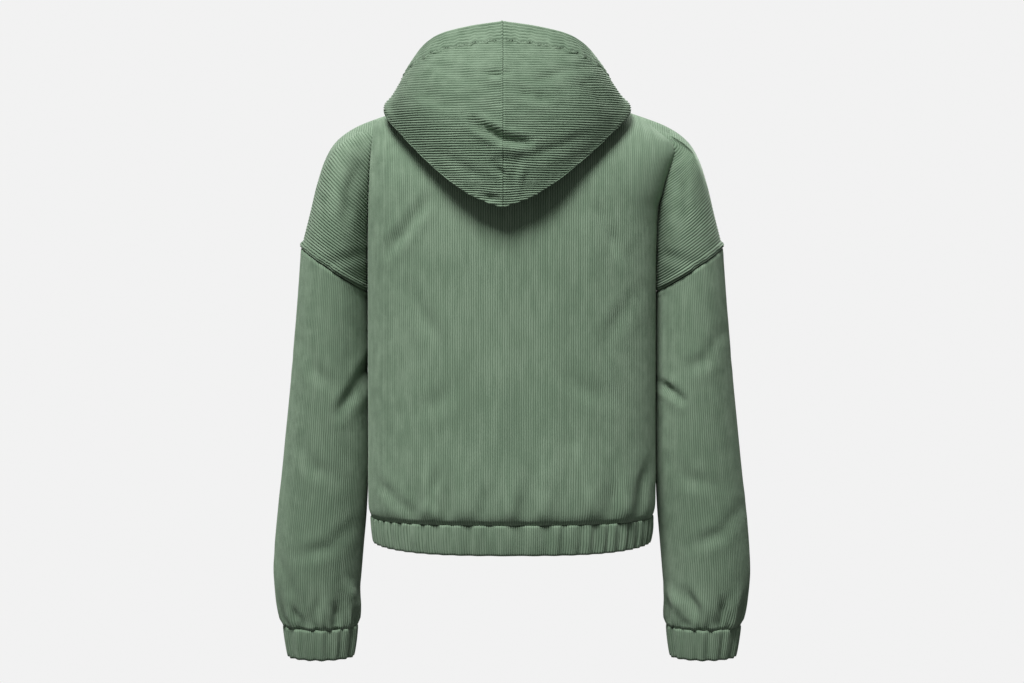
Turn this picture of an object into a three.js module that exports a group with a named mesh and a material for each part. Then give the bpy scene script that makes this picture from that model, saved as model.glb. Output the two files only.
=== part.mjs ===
// A hooded corduroy jacket, cropped, with dropped shoulders and gathered hem band and cuffs.
// It keeps the hollow form it has when worn, with the arms hanging and the hood down the back.
// Millimetres. +Z is up, +Y is the wearer's back and +X is the wearer's left.
// The origin lies between the side neck points, where the shoulders carry the jacket.
import * as THREE from "three";

// Cloth and seams
const WALL = 1.8;
const SEAM = 0.5;
const MITRE_LIMIT = 2.2;

// Heights of the main seams, below the side neck point
const HEM = -545;
const BAND_TOP = -510;
const ARMPIT = -237;
const FOLD_TOP = -57;
const FOLD_TOP_MARGIN = 16;

// Torso: outer sizes of each section, measured from the middle
const TORSO = [
  { z: -545, width: 168, back: 107, front: 114 },
  { z: -511, width: 171, back: 111, front: 118 },
  { z: -500, width: 174.5, back: 117, front: 126 },
  { z: -470, width: 175, back: 119, front: 131 },
  { z: -400, width: 175, back: 117, front: 132 },
  { z: -320, width: 175, back: 116, front: 133 },
  { z: -237, width: 175, back: 117, front: 131 },
  { z: -170, width: 175, back: 117, front: 119 },
  { z: -120, width: 175, back: 114, front: 101 },
  { z: -78, width: 175, back: 109, front: 82 },
  { z: -40, width: 175, back: 104, front: 74 },
  { z: 10, width: 175, back: 100, front: 70 },
];
const SQUARENESS = 2.6;
const BACK_ROLL = 105;
const FRONT_ROLL = 95;

// Shoulder line from the side neck point to the end of the dropped shoulder
const SHOULDER = [
  { x: 76, z: 0 },
  { x: 112, z: -10 },
  { x: 150, z: -22.5 },
  { x: 183, z: -34.5 },
  { x: 203, z: -46 },
  { x: 216.5, z: -59 },
  { x: 227, z: -78 },
  { x: 235.5, z: -104 },
  { x: 243, z: -134 },
  { x: 250.5, z: -163 },
  { x: 256, z: -184 },
];
const NECK_RISE = 4;
const BACK_NECK_DEPTH = 65;
const FRONT_NECK_DROP = 78;
const FRONT_NECK_CURVE = 1.7;

// Dropped shoulder: the fold between body and arm, and the fullness over the arm
const EDGE_TURN = 70;
const SHOULDER_REACH = 162;
const UNDERARM_CLEARANCE = 0.7;
const FOLD_CURVE = 0.8;
const ARM_SWEEP = { top: 30, underarm: 180, curve: 2.2 };
const ARM_FULLNESS = { back: 62, front: 60, curve: 1.8 };

// On the wearer's right the fold bows out: how far, over what widths and heights, and how far below the shoulder
const FOLD_BOW = {
  out: 26,
  grow: { from: 125, to: 172 },
  fade: { from: 176, to: 246 },
  height: { from: ARMPIT + 20, to: FOLD_TOP - 10, curve: 1.6 },
  below: { from: 2, to: 34, reach: 255 },
};

// Sleeve sections from the armhole to the cuff seam: centre, half sizes and tilt in degrees
const SLEEVE = [
  { z: -245, x: 217.8, y: -1, wide: 45, deep: 63, tilt: 22 },
  { z: -290, x: 219.9, y: -3, wide: 45, deep: 63, tilt: 12 },
  { z: -340, x: 222.4, y: -5, wide: 46.7, deep: 62, tilt: 5 },
  { z: -400, x: 225.7, y: -8, wide: 49.8, deep: 60, tilt: 2 },
  { z: -450, x: 228.6, y: -11, wide: 52.4, deep: 58, tilt: 0 },
  { z: -500, x: 232.8, y: -15, wide: 54.2, deep: 57, tilt: 0 },
  { z: -550, x: 237.5, y: -19, wide: 54.5, deep: 56, tilt: 0 },
  { z: -590, x: 240, y: -22, wide: 53.5, deep: 54, tilt: 0 },
  { z: -620, x: 239.5, y: -24, wide: 50.5, deep: 51, tilt: 0 },
  { z: -640, x: 237.8, y: -25, wide: 47.2, deep: 47, tilt: 0 },
  { z: -650, x: 236.8, y: -25, wide: 44.8, deep: 44, tilt: 0 },
];
const CUFF = [
  { z: -650.5, x: 236.8, y: -25, wide: 44.8, deep: 44, tilt: 0 },
  { z: -689, x: 236.5, y: -27, wide: 39.5, deep: 38, tilt: 0 },
];

// Gathers: how many waves go round, and their height
const HEM_CURVE = { centre: -1.5, side: 4, curve: 3 };
const BAND_OVERLAP = 1;
const BAND_GATHERS = { waves: 52, height: 1.5 };
const CUFF_GATHERS = { waves: 16, height: 1.3 };
const BODY_GATHERS = {
  pitch: 47,
  height: 2.6,
  reach: 85,
  crest: 16,
  atSeam: 0.3,
  phase: 1,
  second: { share: 0.6, pitch: 1.43, phase: 2.2 },
  sideways: 3,
};
const SLEEVE_GATHERS = { waves: 8, height: 2.4, reach: 55, start: 8, phase: 0.6 };
const FLAT_FRONT = { from: 22, to: 55 };
const FLAT_SIDE = { from: 148, to: 173 };

// Hood stations from the centre back round to the front neck: where the cloth folds under, and its rim
const HOOD = [
  { turn: 0, foldX: 0, foldY: 146, foldZ: -134, rimX: 0, rimY: 96, rimZ: 84, rise: 30, swell: 26 },
  { turn: 24, foldX: 42, foldY: 142, foldZ: -117, rimX: 42, rimY: 91, rimZ: 78, rise: 30, swell: 25 },
  { turn: 46, foldX: 84, foldY: 128, foldZ: -85, rimX: 78, rimY: 76, rimZ: 69, rise: 29, swell: 21 },
  { turn: 66, foldX: 121, foldY: 98, foldZ: -51, rimX: 100, rimY: 50, rimZ: 54, rise: 27, swell: 13 },
  { turn: 86, foldX: 150, foldY: 46, foldZ: -19, rimX: 111, rimY: 15, rimZ: 36, rise: 24, swell: 5 },
  { turn: 106, foldX: 134, foldY: -20, foldZ: -11, rimX: 105, rimY: -20, rimZ: 20, rise: 20, swell: 4 },
  { turn: 126, foldX: 103, foldY: -68, foldZ: -42, rimX: 88, rimY: -54, rimZ: -3, rise: 17, swell: 4 },
  { turn: 146, foldX: 64, foldY: -98, foldZ: -66, rimX: 59, rimY: -84, rimZ: -29, rise: 13, swell: 4 },
  { turn: 165, foldX: 30, foldY: -107, foldZ: -80, rimX: 28, rimY: -101, rimZ: -51, rise: 9, swell: 3 },
  { turn: 178, foldX: 7, foldY: -110, foldZ: -83, rimX: 9, rimY: -106, rimZ: -58, rise: 8, swell: 3 },
];
const HOOD_NECK_GAP = 0.8;
const HOOD_FOLD_RADIUS = 5;

// The hood's path at each station: shares of the way, how far out, and how far up as a share of the rise or radius
const HOOD_INSIDE = [
  { share: 0.06, out: 1, rise: 0.62 },
  { share: 0.26, out: -1, rise: 1.12 },
  { share: 0.6, out: 2, rise: 0.78 },
];
const HOOD_FOLD = [
  { out: -1.6, up: 0.9 },
  { out: 0, up: -0.2 },
  { out: 0.9, up: 1.4 },
];
const HOOD_OUTSIDE = [
  { share: 0.33, swell: 0.95 },
  { share: 0.7, swell: 0.85 },
];

// The hood hangs a little to the wearer's left, most in the middle of the back
const HOOD_LEAN = { by: 8, from: 0.1, to: 0.5, loss: 0.5, width: 150, frontFade: 60 };

// Front closure
const PLACKET = { width: 34, top: -84, bottom: -544, lift: 2.9, rows: [-237, -203, -171, -145, -122, -104] };
const BUTTON = { radius: 9, thickness: 3, dish: 1, gap: 0.3, first: -104, last: -527, count: 6 };
const BUTTON_EDGE = { back: 0.8, widest: 0.5, crown: 0.88, rim: 0.66, dish: 0.56 };

// Mesh densities
const LOW_ROWS = [-500, -489, -466, -430, -380, -315];
const FOLD_ROWS = [0.2, 0.42, 0.62, 0.81, 1];
const GRID = {
  bodyColumns: 14,
  foldGap: 0.5,
  foldColumns: 6,
  topRows: 6,
  sleeveRound: 24,
  hoodRound: 13,
  hoodAlong: 17,
};
const WAVE_STEPS = 4;
const PLACKET_COLUMNS = 4;
const PLACKET_BAND_ROW = BAND_TOP - 6;
const BUTTON_SEGMENTS = 12;

// Colours of the cloth and the buttons
const CLOTH = new THREE.MeshStandardMaterial({ color: 0x64805f, roughness: 0.95, metalness: 0 });
const RESIN = new THREE.MeshStandardMaterial({ color: 0x4c6349, roughness: 0.45, metalness: 0 });

const lerp = THREE.MathUtils.lerp;
const radians = THREE.MathUtils.degToRad;
const ease = (x, low, high) => THREE.MathUtils.smoothstep(x, Math.min(low, high), Math.max(low, high));
const power = (value, exponent) => Math.pow(Math.max(value, 0), exponent);

// Reads a column of a table at any height, with a smooth curve between its rows.
function readTable(table, key, place, column) {
  const rows = table[0][key] < table[table.length - 1][key] ? table : [...table].reverse();
  const last = rows.length - 1;
  const at = THREE.MathUtils.clamp(place, rows[0][key], rows[last][key]);
  let i = 0;
  while (i < last - 1 && rows[i + 1][key] < at) i += 1;
  const slope = (j) => {
    const a = Math.max(j - 1, 0);
    const b = Math.min(j + 1, last);
    return (rows[b][column] - rows[a][column]) / (rows[b][key] - rows[a][key]);
  };
  const span = rows[i + 1][key] - rows[i][key];
  const t = (at - rows[i][key]) / span;
  const h = t * t * (3 - 2 * t);
  const tangents = span * t * (1 - t) * ((1 - t) * slope(i) - t * slope(i + 1));
  return lerp(rows[i][column], rows[i + 1][column], h) + tangents;
}

const shoulderCurve = new THREE.CatmullRomCurve3(
  SHOULDER.map(({ x, z }) => new THREE.Vector3(x, 0, z)),
  false,
  "centripetal",
);
const shoulderLength = shoulderCurve.getLength();

// Height of the shoulder line above a point across the body. Inside the neck it rises a little.
function ridgeHeight(x) {
  if (x <= SHOULDER[0].x) return NECK_RISE * (1 - (x / SHOULDER[0].x) ** 2);
  return readTable(SHOULDER, "x", x, "z");
}

// Slow folds in the body cloth that run up from the hem band and fade out.
function gatherHem(point) {
  const held = lerp(BODY_GATHERS.atSeam, 1, ease(point.z, BAND_TOP, BAND_TOP + BODY_GATHERS.crest));
  const up = held * (1 - ease(point.z, BAND_TOP + BODY_GATHERS.crest, BAND_TOP + BODY_GATHERS.reach));
  const turn = (2 * Math.PI * point.x) / BODY_GATHERS.pitch;
  const side = 1 - ease(Math.abs(point.x), FLAT_SIDE.from, FLAT_SIDE.to);
  const flat = side * (point.y > 0 ? 1 : ease(Math.abs(point.x), FLAT_FRONT.from, FLAT_FRONT.to));
  const { phase, second } = BODY_GATHERS;
  const waves = Math.sin(turn + phase) + second.share * Math.sin(turn * second.pitch + second.phase);
  const swell = BODY_GATHERS.height * up * flat * waves;
  const out = new THREE.Vector3(point.x / BODY_GATHERS.sideways, point.y, 0).normalize();
  return point.addScaledVector(out, swell);
}

// A point of the torso. turn runs from the middle of the back or front, 0, to the side, 90 degrees.
function torsoPoint(face, turn, z) {
  const exponent = 2 / SQUARENESS;
  const depth = readTable(TORSO, "z", z, face > 0 ? "back" : "front");
  const angle = radians(turn);
  const x = readTable(TORSO, "z", z, "width") * power(Math.sin(angle), exponent);
  const below = (ridgeHeight(x) - z) / (face > 0 ? BACK_ROLL : FRONT_ROLL);
  const roll = below >= 1 ? 1 : Math.sqrt(1 - (1 - Math.max(below, 0)) ** 2);
  const y = depth * power(Math.cos(angle), exponent) * roll;
  return new THREE.Vector3(x, face * y, z);
}

// The turn at which a torso section reaches a distance across the body.
function turnAt(x, z) {
  const share = Math.min(x / readTable(TORSO, "z", z, "width"), 1);
  return THREE.MathUtils.radToDeg(Math.asin(power(share, SQUARENESS / 2)));
}

// Height of the neckline, or of the shoulder seam beyond it, above a point across the body.
function topHeight(face, x) {
  const neck = SHOULDER[0].x;
  if (x >= neck) return ridgeHeight(x);
  const open = Math.sqrt(1 - (x / neck) ** 2);
  if (face > 0) {
    const share = (BACK_NECK_DEPTH * open) / readTable(TORSO, "z", 0, "back");
    return ridgeHeight(x) - BACK_ROLL * (1 - Math.sqrt(1 - share ** 2));
  }
  return -FRONT_NECK_DROP * power(open, FRONT_NECK_CURVE);
}

// The bottom of the fold between body and arm. part runs from the fold's top, 0, to the underarm, 1.
function foldPoint(face, part) {
  const point = torsoPoint(face, lerp(EDGE_TURN, 90, power(part, FOLD_CURVE)), lerp(FOLD_TOP, ARMPIT, part));
  point.x += UNDERARM_CLEARANCE * part ** 2;
  return point;
}

// A point of the dropped shoulder. along runs from the fold, 0, to the shoulder line, 1.
function armPoint(face, part, along) {
  const low = foldPoint(face, part);
  const high = shoulderCurve.getPointAt(1 - (SHOULDER_REACH * (1 - part)) / shoulderLength);
  const sweep = radians(lerp(ARM_SWEEP.top, ARM_SWEEP.underarm, 1 - (1 - part) ** ARM_SWEEP.curve));
  const down = 1 - along;
  const share = (1 - Math.cos(sweep * down)) / (1 - Math.cos(sweep));
  const quarter = Math.min(sweep, Math.PI / 2);
  const most = face > 0 ? ARM_FULLNESS.back : ARM_FULLNESS.front;
  const fullness = most * (1 - (1 - part) ** ARM_FULLNESS.curve);
  const y = Math.abs(low.y) * (Math.sin(quarter * down) / Math.sin(quarter)) + fullness * Math.sin(Math.PI * down);
  return new THREE.Vector3(lerp(high.x, low.x, share), face * y, lerp(high.z, low.z, share));
}

// On the wearer's right the fold bows out towards the shoulder instead of dropping straight.
function bowFold(point) {
  if (point.x > 0 || point.z < ARMPIT) return point;
  const { out, grow, fade, height, below } = FOLD_BOW;
  const across = -point.x;
  const near = ease(across, grow.from, grow.to) * (1 - ease(across, fade.from, fade.to));
  const up = ease(point.z, height.from, height.to) ** height.curve;
  const under = ease(ridgeHeight(Math.min(across, below.reach)) - point.z, below.from, below.to);
  point.x -= out * near * up * under;
  return point;
}

// Moves cloth of the body out of its plain form: the bowed fold and the folds above the hem band.
function shapeBody(point) {
  return bowFold(gatherHem(point));
}

// One half of the back or front, as columns of points from the hem band's seam up to the top edge.
// Beyond the fold each column turns out of the side wall onto the arm.
const lowRows = [BAND_TOP + SEAM, ...LOW_ROWS];
const armholeRow = lowRows.length + FOLD_ROWS.length - 1;
function halfPanel(face, hand) {
  const columns = [];
  const start = lowRows[lowRows.length - 1];
  const edge = torsoPoint(face, EDGE_TURN, FOLD_TOP).x;
  for (let i = 0; i <= GRID.bodyColumns; i += 1) {
    const x = (edge * i) / (GRID.bodyColumns + GRID.foldGap);
    columns.push({ x, top: topHeight(face, x) });
  }
  const grid = columns.map(({ x, top }) => {
    const column = [];
    for (const z of lowRows) column.push(torsoPoint(face, turnAt(x, z), z));
    const height = Math.min(FOLD_TOP, top - FOLD_TOP_MARGIN);
    for (const share of FOLD_ROWS) {
      const z = lerp(start, height, share);
      column.push(torsoPoint(face, turnAt(x, z), z));
    }
    for (let j = 1; j <= GRID.topRows; j += 1) {
      const z = lerp(height, top, Math.sin((Math.PI / 2) * (j / GRID.topRows)));
      column.push(torsoPoint(face, turnAt(x, z), z));
    }
    return column;
  });
  for (let k = 0; k <= GRID.foldColumns; k += 1) {
    const part = k / GRID.foldColumns;
    const turn = lerp(EDGE_TURN, 90, power(part, FOLD_CURVE));
    const column = [];
    for (const z of lowRows) column.push(torsoPoint(face, turn, z));
    const height = lerp(FOLD_TOP, ARMPIT, part);
    for (const share of FOLD_ROWS.slice(0, -1)) column.push(torsoPoint(face, turn, lerp(start, height, share)));
    for (let j = 0; j <= GRID.topRows; j += 1) column.push(armPoint(face, part, j / GRID.topRows));
    grid.push(column);
  }
  for (const column of grid) for (const point of column) point.x *= hand;
  return grid;
}

// Offsets a grid of outer points inwards by the wall, evenly across folds, and closes it into one solid.
// The grid's columns run along its first index. side is 1 or -1 and turns the wall to the cloth's inside.
// around joins the last column to the first. cut gives the plane that the wall stays in at a seam.
function shell({ outer, side, around = false, adjust = (p) => p, keep = (p) => p, cut = () => null }) {
  const columns = outer.length;
  const rows = outer[0].length;
  const at = (i, j) => outer[around ? (i + columns) % columns : THREE.MathUtils.clamp(i, 0, columns - 1)][j];
  const faceNormal = (i, j) => {
    const a = at(i, j);
    const d1 = at(i + 1, j + 1).clone().sub(a);
    const d2 = at(i, j + 1).clone().sub(at(i + 1, j));
    return d1.cross(d2).multiplyScalar(side).normalize();
  };
  const inner = outer.map((column, i) =>
    column.map((point, j) => {
      const normals = [];
      for (const di of [-1, 0])
        for (const dj of [-1, 0]) {
          const fi = i + di;
          const fj = j + dj;
          const inside = fj >= 0 && fj < rows - 1 && (around || (fi >= 0 && fi < columns - 1));
          if (inside) normals.push(faceNormal(fi, fj));
        }
      const sum = new THREE.Vector3();
      for (const normal of normals) sum.add(normal);
      sum.normalize();
      const plane = cut(i, j);
      if (plane) sum.addScaledVector(plane, -sum.dot(plane)).normalize();
      let facing = 0;
      for (const normal of normals) facing += Math.max(normal.dot(sum), 0) / normals.length;
      const distance = WALL * Math.min(1 / Math.max(facing, 0.01), MITRE_LIMIT);
      return point.clone().addScaledVector(sum, -distance);
    }),
  );
  const positions = [];
  for (const layer of [outer, inner])
    for (const column of layer)
      for (const point of column) {
        const moved = keep(adjust(point.clone()));
        positions.push(moved.x, moved.y, moved.z);
      }
  const index = [];
  const id = (layer, i, j) => (layer * columns + ((i + columns) % columns)) * rows + j;
  const quad = (a, b, c, d) => index.push(a, b, c, a, c, d);
  const lastColumn = around ? columns : columns - 1;
  for (let i = 0; i < lastColumn; i += 1) {
    for (let j = 0; j < rows - 1; j += 1) {
      quad(id(0, i, j), id(0, i + 1, j), id(0, i + 1, j + 1), id(0, i, j + 1));
      quad(id(1, i, j), id(1, i, j + 1), id(1, i + 1, j + 1), id(1, i + 1, j));
    }
    quad(id(0, i, 0), id(1, i, 0), id(1, i + 1, 0), id(0, i + 1, 0));
    quad(id(0, i, rows - 1), id(0, i + 1, rows - 1), id(1, i + 1, rows - 1), id(1, i, rows - 1));
  }
  if (!around)
    for (let j = 0; j < rows - 1; j += 1) {
      quad(id(0, 0, j), id(0, 0, j + 1), id(1, 0, j + 1), id(1, 0, j));
      quad(id(0, columns - 1, j), id(1, columns - 1, j), id(1, columns - 1, j + 1), id(0, columns - 1, j + 1));
    }
  const geometry = new THREE.BufferGeometry();
  geometry.setAttribute("position", new THREE.Float32BufferAttribute(positions, 3));
  geometry.setIndex(signedVolume(positions, index) < 0 ? index.reverse() : index);
  return geometry;
}

// Volume enclosed by a closed mesh, negative if its faces point inwards.
function signedVolume(positions, index) {
  const corner = (n) => new THREE.Vector3().fromArray(positions, 3 * index[n]);
  let sum = 0;
  for (let n = 0; n < index.length; n += 3) sum += corner(n).dot(corner(n + 1).cross(corner(n + 2)));
  return sum / 6;
}

const group = new THREE.Group();

function addPiece(name, geometry, material) {
  geometry.computeVertexNormals();
  const mesh = new THREE.Mesh(geometry, material);
  mesh.name = name;
  group.add(mesh);
  return mesh;
}

// The plane of the armhole seam, which the arm's end and the sleeve's start share.
const armholeOut = new THREE.Vector3(SHOULDER[SHOULDER.length - 1].x, 0, SHOULDER[SHOULDER.length - 1].z);
const armholeIn = foldPoint(1, 1).setY(0);
const armholeAcross = armholeOut.clone().sub(armholeIn).normalize();
const armholeDown = new THREE.Vector3(armholeAcross.z, 0, -armholeAcross.x);

const armholePlane = (hand) => new THREE.Vector3(hand * armholeDown.x, 0, armholeDown.z);
const level = new THREE.Vector3(0, 0, 1);
const upright = new THREE.Vector3(1, 0, 0);

// Where a body panel meets the hem band its wall is cut level, and at the armhole in the seam's plane.
function buildBack() {
  const left = halfPanel(1, 1);
  const right = halfPanel(1, -1);
  const outer = [...right.slice(1).reverse(), ...left];
  const last = outer.length - 1;
  const cut = (i, j) => {
    if (j === 0) return level;
    if (j < armholeRow || (i > 0 && i < last)) return null;
    return armholePlane(i === 0 ? -1 : 1);
  };
  const keep = (p) => p.setY(Math.max(p.y, SEAM / 2));
  addPiece("back", shell({ outer, side: -1, adjust: shapeBody, keep, cut }), CLOTH);
}

function buildFront(name, hand) {
  const outer = halfPanel(-1, hand);
  const keep = (p) => {
    p.y = Math.min(p.y, -SEAM / 2);
    p.x = hand * Math.max(hand * p.x, SEAM / 2);
    return p;
  };
  const cut = (i, j) => {
    if (j === 0) return level;
    return i === outer.length - 1 && j >= armholeRow ? armholePlane(hand) : null;
  };
  addPiece(name, shell({ outer, side: hand, adjust: shapeBody, keep, cut }), CLOTH);
}

// A point of a sleeve or cuff section. angle 0 is its outer side and 90 degrees its back.
function sectionPoint({ x, y, z, wide, deep, tilt }, angle, hand) {
  const across = wide * Math.cos(angle);
  return new THREE.Vector3(
    hand * (x + across * Math.cos(radians(tilt))),
    y + deep * Math.sin(angle),
    z + across * Math.sin(radians(tilt)),
  );
}

function buildSleeve(name, hand) {
  const outer = [];
  for (let i = 0; i < GRID.sleeveRound; i += 1) {
    const angle = (2 * Math.PI * i) / GRID.sleeveRound;
    const face = Math.sin(angle) >= 0 ? 1 : -1;
    const along = 1 - Math.acos(Math.cos(angle)) / Math.PI;
    const start = armPoint(face, 1, along).addScaledVector(armholeDown, SEAM);
    start.x *= hand;
    const column = [start];
    for (const row of SLEEVE) {
      const swell = SLEEVE_GATHERS.height * sleeveFade(row.z) * Math.sin(angle * SLEEVE_GATHERS.waves + SLEEVE_GATHERS.phase);
      column.push(sectionPoint({ ...row, wide: row.wide + swell, deep: row.deep + swell }, angle, hand));
    }
    outer.push(column);
  }
  const cut = (i, j) => {
    if (j === 0) return armholePlane(hand);
    return j === SLEEVE.length ? level : null;
  };
  addPiece(name, shell({ outer, side: -hand, around: true, cut }), CLOTH);
}

// How far the sleeve's gathers have grown at a height: none above their reach, all of it near the cuff.
function sleeveFade(z) {
  const seam = SLEEVE[SLEEVE.length - 1].z;
  const start = seam + SLEEVE_GATHERS.start;
  return (1 - ease(z, start, seam + SLEEVE_GATHERS.reach)) * ease(z, seam, start);
}

function buildCuff(name, hand) {
  const steps = CUFF_GATHERS.waves * WAVE_STEPS;
  const outer = [];
  for (let i = 0; i < steps; i += 1) {
    const angle = (2 * Math.PI * i) / steps;
    const swell = CUFF_GATHERS.height * Math.sin(angle * CUFF_GATHERS.waves);
    outer.push(
      CUFF.map((row) => sectionPoint({ ...row, wide: row.wide + swell, deep: row.deep + swell }, angle, hand)),
    );
  }
  addPiece(name, shell({ outer, side: -hand, around: true, cut: () => level }), CLOTH);
}

// The hem band runs from one front edge round the back to the other. turn is 0 at the centre back.
function buildHemBand() {
  const steps = BAND_GATHERS.waves * WAVE_STEPS;
  const outer = [];
  for (let i = 0; i <= steps; i += 1) {
    const round = lerp(-180, 180, i / steps);
    const face = Math.abs(round) <= 90 ? 1 : -1;
    const turn = face > 0 ? Math.abs(round) : 180 - Math.abs(round);
    const hand = Math.sign(round) || 1;
    outer.push(
      [HEM, BAND_TOP].map((z) => {
        const point = torsoPoint(face, turn, z === BAND_TOP ? BAND_TOP - BAND_OVERLAP : HEM);
        const sideShare = Math.abs(Math.sin(radians(round))) ** HEM_CURVE.curve;
        const sweep = lerp(HEM_CURVE.centre, HEM_CURVE.side, sideShare);
        point.z = z === HEM ? HEM + sweep : z;
        point.x *= hand;
        const flat = face > 0 ? 1 : ease(Math.abs(point.x), FLAT_FRONT.from, FLAT_FRONT.to);
        const swell = BAND_GATHERS.height * flat * Math.sin(radians(round) * BAND_GATHERS.waves);
        const out = new THREE.Vector3(point.x, point.y, 0).normalize();
        return point.addScaledVector(out, swell);
      }),
    );
  }
  const keep = (p) => {
    if (p.y < 0 && Math.abs(p.x) < SEAM) p.x = Math.sign(p.x || 1) * (SEAM / 2);
    return p;
  };
  outer[0].forEach((p) => p.setX(-SEAM / 2));
  outer[steps].forEach((p) => p.setX(SEAM / 2));
  addPiece("hem_band", shell({ outer, side: -1, keep, cut: () => level }), CLOTH);
}

// A point of the hood's neck edge, just above the body's neckline.
function hoodNeck(turn) {
  const angle = radians(turn);
  const face = turn <= 90 ? 1 : -1;
  const x = SHOULDER[0].x * Math.sin(angle);
  const z = topHeight(face, x);
  return torsoPoint(face, turnAt(x, z), z).add(new THREE.Vector3(0, 0, HOOD_NECK_GAP));
}

// The hood cloth at one station: up from the neck, over, down to its fold, and up to the rim.
function hoodColumn(turn) {
  const read = (column) => readTable(HOOD, "turn", turn, column);
  const neck = hoodNeck(turn);
  const fold = new THREE.Vector3(read("foldX"), read("foldY"), read("foldZ"));
  const rim = new THREE.Vector3(read("rimX"), read("rimY"), read("rimZ"));
  const out = fold.clone().sub(neck).setZ(0).normalize();
  const between = (a, b, share, side, up) =>
    a.clone().lerp(b, share).addScaledVector(out, side).add(new THREE.Vector3(0, 0, up));
  const radius = HOOD_FOLD_RADIUS;
  const rise = read("rise");
  const swell = read("swell");
  const path = [
    neck,
    ...HOOD_INSIDE.map((step) => between(neck, fold, step.share, step.out, rise * step.rise)),
    ...HOOD_FOLD.map((step) => between(fold, fold, 0, radius * step.out, radius * step.up)),
    ...HOOD_OUTSIDE.map((step) => between(fold, rim, step.share, swell * step.swell, 0)),
    rim,
  ];
  return new THREE.CatmullRomCurve3(path, false, "centripetal");
}

function buildHoodHalf(name, hand) {
  const outer = [];
  for (let i = 0; i <= GRID.hoodRound; i += 1) {
    const turn = lerp(0, HOOD[HOOD.length - 1].turn, i / GRID.hoodRound);
    const curve = hoodColumn(turn);
    const column = [];
    for (let j = 0; j <= GRID.hoodAlong; j += 1) {
      const point = curve.getPoint(j / GRID.hoodAlong);
      const middle = 1 - HOOD_LEAN.loss * (point.x / HOOD_LEAN.width) ** 2;
      const lean = HOOD_LEAN.by * ease(j / GRID.hoodAlong, HOOD_LEAN.from, HOOD_LEAN.to) * middle;
      point.x = hand * point.x;
      point.userShift = point.y > 0 ? lean : lean * Math.max(0, 1 + point.y / HOOD_LEAN.frontFade);
      column.push(point);
    }
    outer.push(column);
  }
  const shifts = outer.map((column) => column.map((point) => point.userShift));
  const geometry = shell({
    outer,
    side: -hand,
    cut: (i) => (i === 0 ? upright : null),
    keep: (p) => p.setX(hand * Math.max(hand * p.x, SEAM / 2)),
  });
  const position = geometry.attributes.position;
  const flat = shifts.flat();
  for (let n = 0; n < position.count; n += 1) position.setX(n, position.getX(n) + flat[n % flat.length]);
  addPiece(name, geometry, CLOTH);
}

// The placket's outer face at the centre front, straight between its rows.
const placketRows = [PLACKET.bottom, BUTTON.last, PLACKET_BAND_ROW, ...lowRows, ...PLACKET.rows, PLACKET.top];
function placketFace(z) {
  const above = placketRows.findIndex((row) => row > z);
  const upper = placketRows[above < 0 ? placketRows.length - 1 : above];
  const lower = placketRows[(above < 0 ? placketRows.length - 1 : above) - 1];
  const depth = (row) => torsoPoint(-1, 0, row).y - PLACKET.lift;
  return lerp(depth(lower), depth(upper), (z - lower) / (upper - lower));
}

function buildPlacket() {
  const outer = [];
  for (let i = 0; i <= PLACKET_COLUMNS; i += 1) {
    const x = PLACKET.width * (i / PLACKET_COLUMNS - 0.5);
    const column = [];
    for (const z of placketRows) {
      const surface = torsoPoint(-1, turnAt(Math.abs(x), z), z);
      column.push(new THREE.Vector3(x, surface.y - PLACKET.lift, z));
    }
    outer.push(column);
  }
  addPiece("placket", shell({ outer, side: 1 }), CLOTH);
}

function buildButtons() {
  const { radius, thickness, dish, gap, first, last, count } = BUTTON;
  const profile = [
    [0, 0],
    [radius * BUTTON_EDGE.back, 0],
    [radius, thickness * BUTTON_EDGE.widest],
    [radius * BUTTON_EDGE.crown, thickness],
    [radius * BUTTON_EDGE.rim, thickness],
    [radius * BUTTON_EDGE.dish, thickness - dish],
    [0, thickness - dish],
  ].map(([r, h]) => new THREE.Vector2(r, h));
  for (let n = 0; n < count; n += 1) {
    const z = lerp(first, last, n / (count - 1));
    const low = placketFace(z - radius);
    const high = placketFace(z + radius);
    let crown = 0;
    for (const row of placketRows)
      if (Math.abs(row - z) < radius) {
        crown = Math.max(crown, lerp(low, high, (row - z + radius) / (2 * radius)) - placketFace(row));
      }
    const outward = new THREE.Vector3(0, -1, (high - low) / (2 * radius)).normalize();
    const button = addPiece(`button_${n + 1}`, new THREE.LatheGeometry(profile, BUTTON_SEGMENTS), RESIN);
    button.quaternion.setFromUnitVectors(new THREE.Vector3(0, 1, 0), outward);
    button.position.set(0, (low + high) / 2, z).addScaledVector(outward, crown + gap);
  }
}

buildBack();
buildFront("front_left", 1);
buildFront("front_right", -1);
buildSleeve("sleeve_left", 1);
buildSleeve("sleeve_right", -1);
buildCuff("cuff_left", 1);
buildCuff("cuff_right", -1);
buildHemBand();
buildHoodHalf("hood_left", 1);
buildHoodHalf("hood_right", -1);
buildPlacket();
buildButtons();

export default group;
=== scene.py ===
"""Looks of a hooded corduroy jacket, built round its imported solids.

Lengths are millimetres until a mesh is made, and metres in Blender. +Z is up, +Y is the wearer's
back and +X is the wearer's left, as in the solids.
"""

import logging
import math
from dataclasses import dataclass, field
from enum import Enum

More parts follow.
